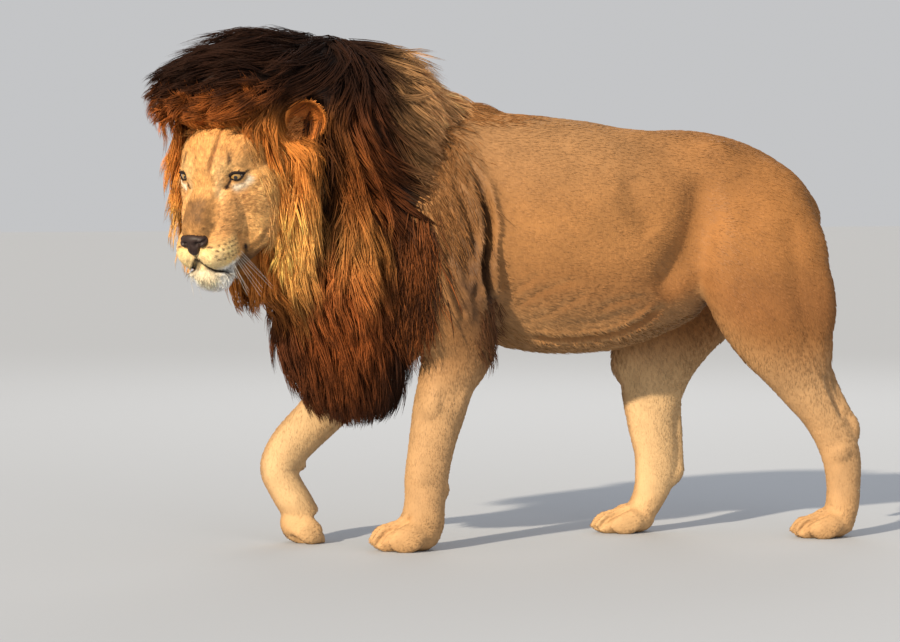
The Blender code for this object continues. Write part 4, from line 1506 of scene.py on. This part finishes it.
def growEars():
    # Outwards from the middle of each cup, longer inside it
    count = earCoat["count"]
    roots = sow(count, ground["ears"].astype(float))
    flow, outer = np.zeros((count, 3)), np.zeros(count)
    for side in (-1, 1):
        place = np.array(earPlace(side))
        fromCup = roots["place"] - place[:3, 3]
        local = fromCup @ place[:3, :3]
        near = np.linalg.norm(fromCup, axis=1) < 0.10
        way = np.stack([0.6 * np.ones(count), local[:, 1] * 14, local[:, 2] * 14], 1)
        flow[near] = (way @ place[:3, :3].T)[near]
        outer[near] = np.hypot(local[:, 1], local[:, 2])[near]
    length = (earCoat["length"] + 0.010 * fadeOut(outer, 0.015, 0.045)) * rng.uniform(0.7, 1.3, count)
    lift, shade = rng.uniform(0.10, 0.35, count), rng.uniform(0.75, 1.15, count)
    plantTufts("earCoat", roots, flow, length, length * earCoat["width"], lift, shade)


growFace()
growEars()
print("stage: face coat")


# Long hair

down = np.array((0.0, 0.0, -1.0))


def maneFlow(p, jitter):
    x, y, z = (p - homeSpot).T
    f, l, u = toHead(p).T
    crown = np.maximum(smoothStep(f, -0.30, -0.16) * smoothStep(u, 0.07, 0.15), smoothStep(z, 1.00, 1.12))
    ruff = smoothStep(f, -0.30, -0.17) * fadeOut(u, 0.05, 0.13)
    # over the crest the lie turns from forward to down to back, and parts to both sides
    turning = np.radians(18 + 130 * smoothStep(x, -0.50, -0.12))
    parting = 0.45 * np.tanh((y + 0.08) / 0.05) * np.sin(turning) ** 2
    sweep = np.stack([-np.cos(turning), parting - 0.14 * np.cos(turning), -np.sin(turning)], 1)
    fall = (smoothStep(-l, 0.0, 0.06) * smoothStep(f, -0.26, -0.14) * fadeOut(u, 0.15, 0.22))[:, None]
    sweep = sweep * (1 - fall) + np.array((-0.66, -0.12, -0.85)) * fall
    # round the face it hangs, and leans out to each side
    hanging = down + np.tanh(l / 0.03)[:, None] * headTurn[:, 1] * 0.14 - headTurn[:, 0] * 0.12
    hanging[:, 0] -= 0.40 * smoothStep(-l, 0.05, 0.12)
    rear = smoothStep(x, -0.30, -0.08)[:, None]
    neck = np.array((0.50, 0.0, -1.0)) * (1 - rear) + np.array((1.0, 0.0, -0.55)) * rear
    chest = fadeOut(z, 0.62, 0.80)[:, None]
    gather = np.stack([-(x + 0.28) * 1.6, -(y + 0.06) * 1.6, -np.ones(len(p))], 1)
    flow = neck * (1 - chest) + gather * chest
    flow = flow * (1 - ruff[:, None]) + hanging * ruff[:, None]
    flow = flow * (1 - crown[:, None]) + sweep * crown[:, None]
    wave = np.stack([np.sin(z * 17 + y * 9), np.sin(x * 15 + z * 7 + 2), np.cos(x * 13 - y * 11)], 1)
    return unit(unit(flow) + wave * 0.10 + jitter)


def tooNearFace(points):
    # Hair never crosses the face or the open ears
    local = toHead(points)
    bad = within(local, (0.014, 0, -0.052), (0.130, 0.130, 0.200))
    bad |= (local[..., 0] > -0.08) & (local[..., 1] < -0.05) & (local[..., 2] < -0.13)
    for side in (-1, 1):
        bad |= within(toEar(points, side), (0.062, 0, 0.004), (0.082, 0.060, 0.062))
    return bad


def combGuides(roots, length, height, jitter):
    # Paths that leave the skin, rise to their own layer, and run with the lie of the hair
    p = roots["place"].copy()
    normal = roots["normal"].copy()
    paths, up = [p.copy()], [normal.copy()]
    last = maneLook["stations"] - 1
    for j in range(1, last + 1):
        way = maneFlow(p, jitter)
        free = unit(way - normal * np.minimum((way * normal).sum(1), 0)[:, None])
        p = p + free * (length / last)[:, None]
        want = height * ((j / last) ** 0.6)
        for i in range(len(p)):
            spot, n, _, away = coreTree.find_nearest(p[i])
            gap = want[i] - (away if (Vector(p[i]) - spot).dot(n) > 0 else -away)
            normal[i] = np.array(n)
            p[i] += normal[i] * (gap if gap > 0 else gap * 0.30)
        paths.append(p.copy())
        up.append(normal.copy())
    return np.stack(paths, 1), np.stack(up, 1)


def spreadLocks(roots, paths, up, lockWidth, colorPath):
    # Strands of one lock stand apart at the root and meet towards the tip
    count, m, _ = paths.shape
    per, stations, curl = maneLook["perGuide"], np.linspace(0, 1, maneLook["rings"] + 1), maneLook["curl"]
    pick = np.repeat(np.arange(count), per)
    total = len(pick)
    t = stations[None, :] * rng.uniform(0.72, 1.0, total)[:, None]
    low = np.clip((t * (m - 1)).astype(int), 0, m - 2)
    part = (t * (m - 1) - low)[..., None]
    rows = np.arange(total)[:, None]

    def between(values):
        return values[pick][rows, low] * (1 - part) + values[pick][rows, low + 1] * part

    line, normal = between(paths), unit(between(up))
    along = unit(np.gradient(line, axis=1))
    across = unit(np.cross(along, normal))
    angle = rng.uniform(0, 2 * math.pi, total)
    radius = np.sqrt(rng.random(total)) * np.repeat(lockWidth, per)
    closing = 1 - maneLook["clump"] * t**1.3
    phase = rng.uniform(0, 2 * math.pi, total)[:, None]
    shift = (radius * np.cos(angle))[:, None] * closing + curl * np.sin(phase + t * 7) * t
    rise = (radius * np.sin(angle) * 0.5)[:, None] * closing + curl * np.cos(phase * 1.7 + t * 6) * t
    line = line + across * shift[..., None] + normal * rise[..., None]
    profile = np.interp(stations, (0, 0.25, 0.6, 0.85, 1), (0.8, 1, 0.85, 0.5, 0))
    widths = maneLook["width"] * rng.uniform(0.7, 1.3, total)[:, None] * profile[None]
    tint = rng.uniform(0.72, 1.30, total) * np.repeat(rng.uniform(0.80, 1.22, count), per)
    ramp = np.interp(stations, (0, 0.3, 0.7, 1), (0.52, 0.88, 1.06, 1.16))
    color = 0.35 * colorPath[pick][:, :1] + 0.65 * between(colorPath)
    return line, normal, widths, color * tint[:, None, None] * ramp[None, :, None], roots["uv"][pick]


def fromWhorl(p):
    # How far from the whorl on the crest
    return np.linalg.norm((p - maneLook["whorl"]) * (1, 1, 0.5), axis=1)


def growMane():
    weight = ground["mane"].astype(float)
    weight[ground["mane"] & (toHead(ground["middle"])[:, 0] > -0.28)] = 1.6
    weight[ground["mane"] & (fromWhorl(ground["middle"] - homeSpot) < 0.12)] = 2.2
    roots = sow(maneLook["guides"], weight)
    p = roots["place"] - homeSpot
    x, _, z = p.T
    f, l, u = toHead(roots["place"]).T
    count = len(p)
    # shorter round the head, over the withers and shoulders, on the brow and in the tassel
    headPart = smoothStep(f, -0.30, -0.18)
    length = maneLook["length"] * (1 - headPart) + maneLook["headLength"] * headPart
    length -= 0.13 * smoothStep(x, -0.26, -0.10) * smoothStep(z, 0.86, 0.96)
    length -= 0.05 * smoothStep(x, -0.16, -0.04) * fadeOut(z, 0.86, 0.96)
    brow = smoothStep(f, -0.15, -0.05) * smoothStep(u, 0.06, 0.12)
    length -= 0.075 * brow * (1 - 0.8 * smoothStep(-l, 0.02, 0.07))
    length *= 1 - 0.45 * ruffGap(roots["place"])
    length = np.maximum(length, 0.05)
    length -= 0.06 * fadeOut(z, 0.38, 0.50)
    length *= rng.uniform(0.8, 1.2, count)
    height = rng.uniform(0.010, 0.048, count) * (1 - 0.6 * smoothStep(x, -0.32, -0.14))
    # hair lies every way over the whorl, so that no bare patch shows
    jitter = rng.normal(0, 1, (count, 3)) * (0.15 + 0.22 * peak((fromWhorl(p), 0, 0.11)))[:, None]
    paths, up = combGuides(roots, length, height, jitter)
    lockWidth = rng.uniform(0.010, 0.019, count)
    made = spreadLocks(roots, paths, up, lockWidth, maneTone(paths.reshape(-1, 3)).reshape(paths.shape))
    line = made[0]
    keep = ~tooNearFace(line).any(1)
    keep &= ruffGap(line.reshape(-1, 3)).reshape(line.shape[:2]).max(1) < rng.uniform(0.30, 1.25, len(keep))
    made = [part[keep] for part in made]
    # from front to back in pieces of a size that exports whole
    order = np.argsort(made[0][:, 0, 0])
    for i, part in enumerate(np.array_split(order, math.ceil(len(order) / maneLook["perPiece"]))):
        growStrands("mane%d" % (i + 1), *(values[part] for values in made))


# Loose hair too short or too sparse for locks

fringes = {
    "maneCheek": {"count": 4200, "length": 0.100, "width": 0.0022, "lift": 0.10, "droop": 0.25},
    "maneBrow": {"count": 3400, "length": 0.040, "width": 0.0017, "lift": 0.26, "droop": 0.0},
    "browHair": {"count": 2600, "length": 0.042, "width": 0.0019, "lift": 0.20, "droop": 0.05},
    "maneShoulder": {"count": 4000, "length": 0.046, "width": 0.0020, "lift": 0.10, "droop": 0.05},
    "maneCape": {"count": 5000, "length": 0.100, "width": 0.0024, "lift": 0.13, "droop": 0.05, "curl": 0.004},
    "cheekHair": {"count": 2600, "length": 0.042, "width": 0.0016, "lift": 0.12, "droop": 0.15},
    "elbowHair": {"count": 1000, "length": 0.040, "width": 0.0018, "lift": 0.20, "droop": 0.12},
    "tailHair": {"count": 1800, "length": 0.034, "width": 0.0024, "lift": 0.08, "droop": 0.04},
    "bellyHair": {"count": 1600, "length": 0.030, "width": 0.0022, "lift": 0.14, "droop": 0.10},
    "chinHair": {"count": 1800, "length": 0.022, "width": 0.0018, "lift": 0.16, "droop": 0.2},
    "earHair": {"count": 800, "length": 0.028, "width": 0.0013, "lift": 0.40, "droop": 0.0},
}


def growFringe(name, weight, flow, color):
    # The flow and the colour are one for all, or a function of the roots
    look = fringes[name]
    count, curl = look["count"], look.get("curl", 0.002)
    roots = sow(count, weight)
    place, normal = roots["place"], roots["normal"]
    flow = flow(place) if callable(flow) else np.array(flow)
    along = combed(unit(flow) + rng.normal(0, 0.16, (count, 3)), normal)
    length = (look["length"] * rng.uniform(0.6, 1.2, count))[:, None]
    across = np.cross(along, normal)
    stations = []
    phase = rng.uniform(0, 2 * math.pi, count)[:, None]
    for t in np.linspace(0, 1, 4):
        rise = normal * length * look["lift"] * math.sin(t * 2.2) / 0.9
        sag = down * length * look["droop"] * t * t
        curled = across * curl * np.sin(phase + t * 6) * t
        stations.append(place - normal * 0.001 + along * length * t + rise + sag + curled)
    paths = np.stack(stations, 1)
    widths = look["width"] * rng.uniform(0.7, 1.3, count)[:, None] * np.array((0.8, 1.0, 0.7, 0.0))
    base = (color(roots) if callable(color) else color) * rng.uniform(0.72, 1.25, count)[:, None]
    colors = base[:, None] * np.array((0.62, 0.90, 1.05, 1.15))[None, :, None]
    made = (paths, np.repeat(normal[:, None], 4, 1), widths, colors, roots["uv"])
    keep = ~tooNearFace(paths[:, 1:]).any(1) if name.startswith("mane") else np.ones(count, bool)
    growStrands(name, *(part[keep] for part in made))


def hang(place):
    # Down and back along the cheek, out to its own side
    side = np.sign(toHead(place)[:, 1])[:, None]
    return down - headTurn[:, 0] * 0.30 + side * headTurn[:, 1] * 0.15


def browTone(roots):
    return faceMarkings(roots["place"]) * (1.0, 0.86, 0.70)


def beardTone(roots):
    return faceMarkings(roots["place"]) * 1.05


def shoulderTone(roots):
    x, _, z = (roots["place"] - homeSpot).T
    color = plain(len(x), 150, 104, 62)
    mark(color, (52, 33, 23), fadeOut(x, -0.15, -0.07) * fadeOut(z, 0.80, 0.90) * 0.8 * 0.9)
    return color


def capeTone(roots):
    p = roots["place"] - homeSpot
    color = plain(len(p), 58, 34, 22)
    mark(color, (146, 84, 42), np.clip(0.5 + 0.8 * mottle(p * (1, 1, 0.2), 0.03, 14), 0, 1))
    return color


def cheekTone(roots):
    color = faceMarkings(roots["place"])
    mark(color, (246, 180, 98), 0.75 * smoothStep(-toHead(roots["place"])[:, 0], 0.04, 0.11))
    return color


def growFringes():
    x, y, z = (ground["middle"] - homeSpot).T
    f, l, u = toHead(ground["middle"]).T
    a = np.abs(l)
    onBody, onHead = ground["body"], ground["head"]

    # cheek hair that grows into the ruff
    cheek = onHead * smoothStep(-f, 0.095, 0.130) * (f > -0.19) * smoothStep(a, 0.070, 0.095)
    growFringe("maneCheek", cheek * (u < 0.10) * (u > -0.19), hang, tone(238, 174, 96))

    # brow, and the hairline under the forelock
    brow = onHead * smoothStep(u, 0.070, 0.115) * (a < 0.11) * (f > -0.16)
    growFringe("maneBrow", brow, (-0.75, 0.35, 0.9), browTone)
    hairline = ground["mane"] * smoothStep(f, -0.15, -0.10) * band(u, 0.07, 0.10, 0.17, 0.20) * (a < 0.16)
    growFringe("browHair", hairline, (-0.6, -0.25, 0.75), lambda roots: maneTone(roots["place"]))

    # hair that thins out over the shoulders and withers
    edge = peak((x, -0.07, 0.055)) * smoothStep(z, 0.66, 0.80)
    crest = peak((x, 0.07, 0.09)) * fadeOut(np.abs(y), 0.05, 0.12) * (z > 1.0)
    growFringe("maneShoulder", onBody * np.maximum(edge, crest * 1.2), bodyFlow, shoulderTone)

    # the mane's ragged edge over the upper arms
    edge, reach = np.where(y > 0, -0.205, -0.150), np.where(y > 0, 0.062, 0.036)
    inner = np.where(y > 0, 0.04, 0.10)
    cape = peak((x - 0.10 * np.minimum(z - 0.66, 0), edge, reach)) * band(z, 0.50, 0.64, 0.78, 0.88)
    growFringe("maneCape", onBody * cape * (np.abs(y) > inner), (0.08, 0.0, -1.0), capeTone)

    # cheek fur that lengthens towards the ruff
    cheek = onHead * smoothStep(-f, 0.030, 0.075) * (f > -0.15) * smoothStep(a, 0.070, 0.095)
    growFringe("cheekHair", cheek * (u < 0.07) * (u > np.where(l < 0, -0.10, -0.18)), hang, cheekTone)

    # dark hair behind the elbows, its colour partly painted shade, the tail's tuft, the loose hair of the
    # belly and the beard
    elbow = sum(peak((x, back, 0.045), (y, side * 0.14, 0.09), (z, 0.555, 0.075))
                for side, back in ((-1, 0.045), (1, -0.01)))
    growFringe("elbowHair", onBody * (elbow > 0.2) * elbow, (0.5, 0.0, -1.0), tone(104, 68, 44))
    tuft = onBody * (x > 0.955) * (z < 0.36) * (y > 0.01) * (y < 0.14)
    growFringe("tailHair", tuft.astype(float), (0.25, 0.0, -1.0), tone(52, 34, 26))
    belly = onBody * (ground["normals"][ground["corners"][:, 0], 2] < -0.72)
    belly = belly * (z > 0.42) * (z < 0.60) * (x > 0.08) * (x < 0.62)
    growFringe("bellyHair", belly.astype(float), (1.0, 0.0, -0.5), lambda roots: roots["color"] * 0.95)
    chin = onHead * (u < -0.186) * (f > 0.02) * (a < 0.07)
    growFringe("chinHair", chin.astype(float), (0.25, 0.1, -1.0), beardTone)

    # long hairs across the ears' openings
    cup = np.zeros(len(f))
    for side in (-1, 1):
        local = toEar(ground["middle"], side)
        cup += ground["ears"] * within(local, (-0.010, -side * 0.020, -0.012), (0.030, 0.026, 0.030))
    growFringe("earHair", cup, headTurn[:, 0], tone(214, 146, 84))


growMane()
growFringes()
print("stage: mane")


# Materials


def newMaterial(name, roughness, specular, *color):
    material = bpy.data.materials.new(name)
    material.use_nodes = True
    inputs = material.node_tree.nodes["Principled BSDF"].inputs
    inputs["Roughness"].default_value = roughness
    inputs["Specular IOR Level"].default_value = specular
    if color:
        inputs["Base Color"].default_value = (*color, 1)
    return material


def addNode(material, kind, values=(), joins=(), **settings):
    # A node with some inputs set, and others joined to earlier nodes
    node = material.node_tree.nodes.new(kind)
    for key, value in settings.items():
        setattr(node, key, value)
    for socket, value in dict(values).items():
        node.inputs[socket].default_value = value
    for socket, output in dict(joins).items():
        material.node_tree.links.new(output, node.inputs[socket])
    return node


def joinShader(material, socket, output):
    material.node_tree.links.new(output, material.node_tree.nodes["Principled BSDF"].inputs[socket])


def addRelief(material, height, strength, distance):
    sizes = {"Strength": strength, "Distance": distance}
    relief = addNode(material, "ShaderNodeBump", sizes, {"Height": height})
    joinShader(material, "Normal", relief.outputs["Normal"])


def furMaterial(name, roughness, specular, grain, contrast):
    # The markings, a little uneven at the size of a lock
    material = newMaterial(name, roughness, specular)
    marks = addNode(material, "ShaderNodeAttribute", attribute_name="markings")
    place = addNode(material, "ShaderNodeTexCoord").outputs["Object"]
    noise = addNode(material, "ShaderNodeTexNoise", {"Scale": grain, "Detail": 4}, {"Vector": place})
    limits = {"From Min": 0.3, "From Max": 0.7, "To Min": 1 - contrast, "To Max": 1 + contrast * 0.6}
    ramp = addNode(material, "ShaderNodeMapRange", limits, {"Value": noise.outputs["Fac"]})
    inputs = {0: marks.outputs["Color"], "Scale": ramp.outputs["Result"]}
    scaled = addNode(material, "ShaderNodeVectorMath", joins=inputs, operation="SCALE")
    joinShader(material, "Base Color", scaled.outputs["Vector"])
    return material


def skinMaterial():
    # Fine upright relief between the tufts
    material = furMaterial("short fur skin", 0.75, 0.25, 14, 0.10)
    place = material.node_tree.nodes["Texture Coordinate"].outputs["Object"]
    drawn = addNode(material, "ShaderNodeMapping", {"Scale": (1, 1, 0.35)}, {"Vector": place})
    inputs = {"Vector": drawn.outputs["Vector"]}
    fine = addNode(material, "ShaderNodeTexNoise", {"Scale": 260, "Detail": 3}, inputs)
    addRelief(material, fine.outputs["Fac"], 0.5, 0.002)
    return material


def noseMaterial():
    material = newMaterial("nose leather", 0.50, 0.35, *tone(44, 28, 23))
    place = addNode(material, "ShaderNodeTexCoord").outputs["Object"]
    cells = addNode(material, "ShaderNodeTexVoronoi", {"Scale": 620}, {"Vector": place})
    addRelief(material, cells.outputs["Distance"], 0.35, 0.0006)
    return material


def eyeMaterials():
    made = []
    for name, color, roughness in (("pupil", (6, 5, 5), 0.12), ("iris", (160, 122, 58), 0.22),
                                   ("limbus", (52, 34, 18), 0.2), ("sclera", (182, 160, 138), 0.3)):
        material = newMaterial(name, roughness, 0.5, *tone(*color))
        inputs = material.node_tree.nodes["Principled BSDF"].inputs
        inputs["Coat Weight"].default_value = 1.0
        inputs["Coat Roughness"].default_value = 0.03
        made.append(material)
    return made


whiskers = makeWhiskers()
skin.data.materials.clear()
skin.data.materials.append(skinMaterial())
shortFur = furMaterial("short fur", 0.62, 0.30, 14, 0.10)
longHair = furMaterial("mane hair", 0.60, 0.13, 9, 0.22)
for piece in coatPieces:
    piece.data.materials.append(longHair if "mane" in piece.name or "Hair" in piece.name else shortFur)
nose.data.materials.append(noseMaterial())
whiskers.data.materials.append(newMaterial("whisker", 0.35, 0.5, *tone(240, 234, 222)))
for material in eyeMaterials():
    eyes.data.materials.append(material)
for piece in (eyes, nose, whiskers):
    onlySelect(piece)
    bpy.ops.object.shade_smooth()

flesh = ["head", "lower_jaw", "ear_left", "ear_right", "chest", "abdomen", "rump", "tail", "tail_tuft"]
for side in ("left", "right"):
    flesh += [part + "_" + side for part in ("upper_foreleg", "forearm", "forepaw")]
    flesh += [part + "_" + side for part in ("thigh", "shank", "metatarsus", "hind_paw")]
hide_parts(*flesh, "mane_crown", "mane_neck", "mane_chest")
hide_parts("eye_left", "eye_right")
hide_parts("nose")
pieces = [skin, eyes, nose, whiskers, *coatPieces]
for piece in pieces:
    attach(piece, "root")


# Floor, light and camera

lamps = {
    "key": {"kind": "SUN", "energy": 5.3, "color": (1.0, 0.85, 0.64), "place": (-5.6, -4.7, 4.4),
            "aim": (0, 0, 0.6), "angle": math.radians(2)},
    "fill": {"kind": "AREA", "energy": 45, "color": (1.0, 0.96, 0.90), "place": (1.0, -5.5, 3.0),
             "aim": (0.2, 0, 0.6), "size": 3.0},
    "back": {"kind": "AREA", "energy": 70, "color": (1.0, 0.97, 0.92), "place": (2.0, 5.0, 4.0),
             "aim": (0, 0, 0.6), "size": 3.0},
}
cameraLook = {"turn": math.radians(-15), "rise": math.radians(3), "away": 8.5, "aimHeight": 0.56, "lens": 136}


def setStage():
    bpy.ops.mesh.primitive_plane_add(size=60, location=(0, 0, 0))
    floor = bpy.context.active_object
    floor.name = "floor"
    floor.data.materials.append(newMaterial("floor", 0.9, 0.2, 0.42, 0.45, 0.50))
    world = bpy.data.worlds.new("studio")
    bpy.context.scene.world = world
    world.use_nodes = True
    sky = world.node_tree.nodes["Background"].inputs
    sky["Color"].default_value = (0.95, 0.96, 0.98, 1)
    sky["Strength"].default_value = 0.58
    for name, look in lamps.items():
        light = bpy.data.lights.new(name, look["kind"])
        for key in ("energy", "color", "size", "angle"):
            if key in look:
                setattr(light, key, look[key])
        lamp = addObject(name, light)
        lamp.location = look["place"]
        way = Vector(look["aim"]) - lamp.location
        lamp.rotation_euler = way.to_track_quat("-Z", "Y").to_euler()


def setCamera():
    turn, rise = cameraLook["turn"], cameraLook["rise"]
    data = bpy.data.cameras.new("camera")
    data.lens, data.sensor_width, data.clip_end = cameraLook["lens"], 36, 200
    camera = addObject("camera", data)
    back = Vector((math.sin(turn) * math.cos(rise), -math.cos(turn) * math.cos(rise), math.sin(rise)))
    camera.location = home + Vector((0, 0, cameraLook["aimHeight"])) + back * cameraLook["away"]
    camera.rotation_euler = (math.pi / 2 - rise, 0, turn)
    bpy.context.scene.camera = camera


setStage()
setCamera()
bpy.context.scene.view_settings.view_transform = "Standard"
print("stage: set")
print("triangles", {piece.name: len(piece.data.polygons) for piece in pieces})
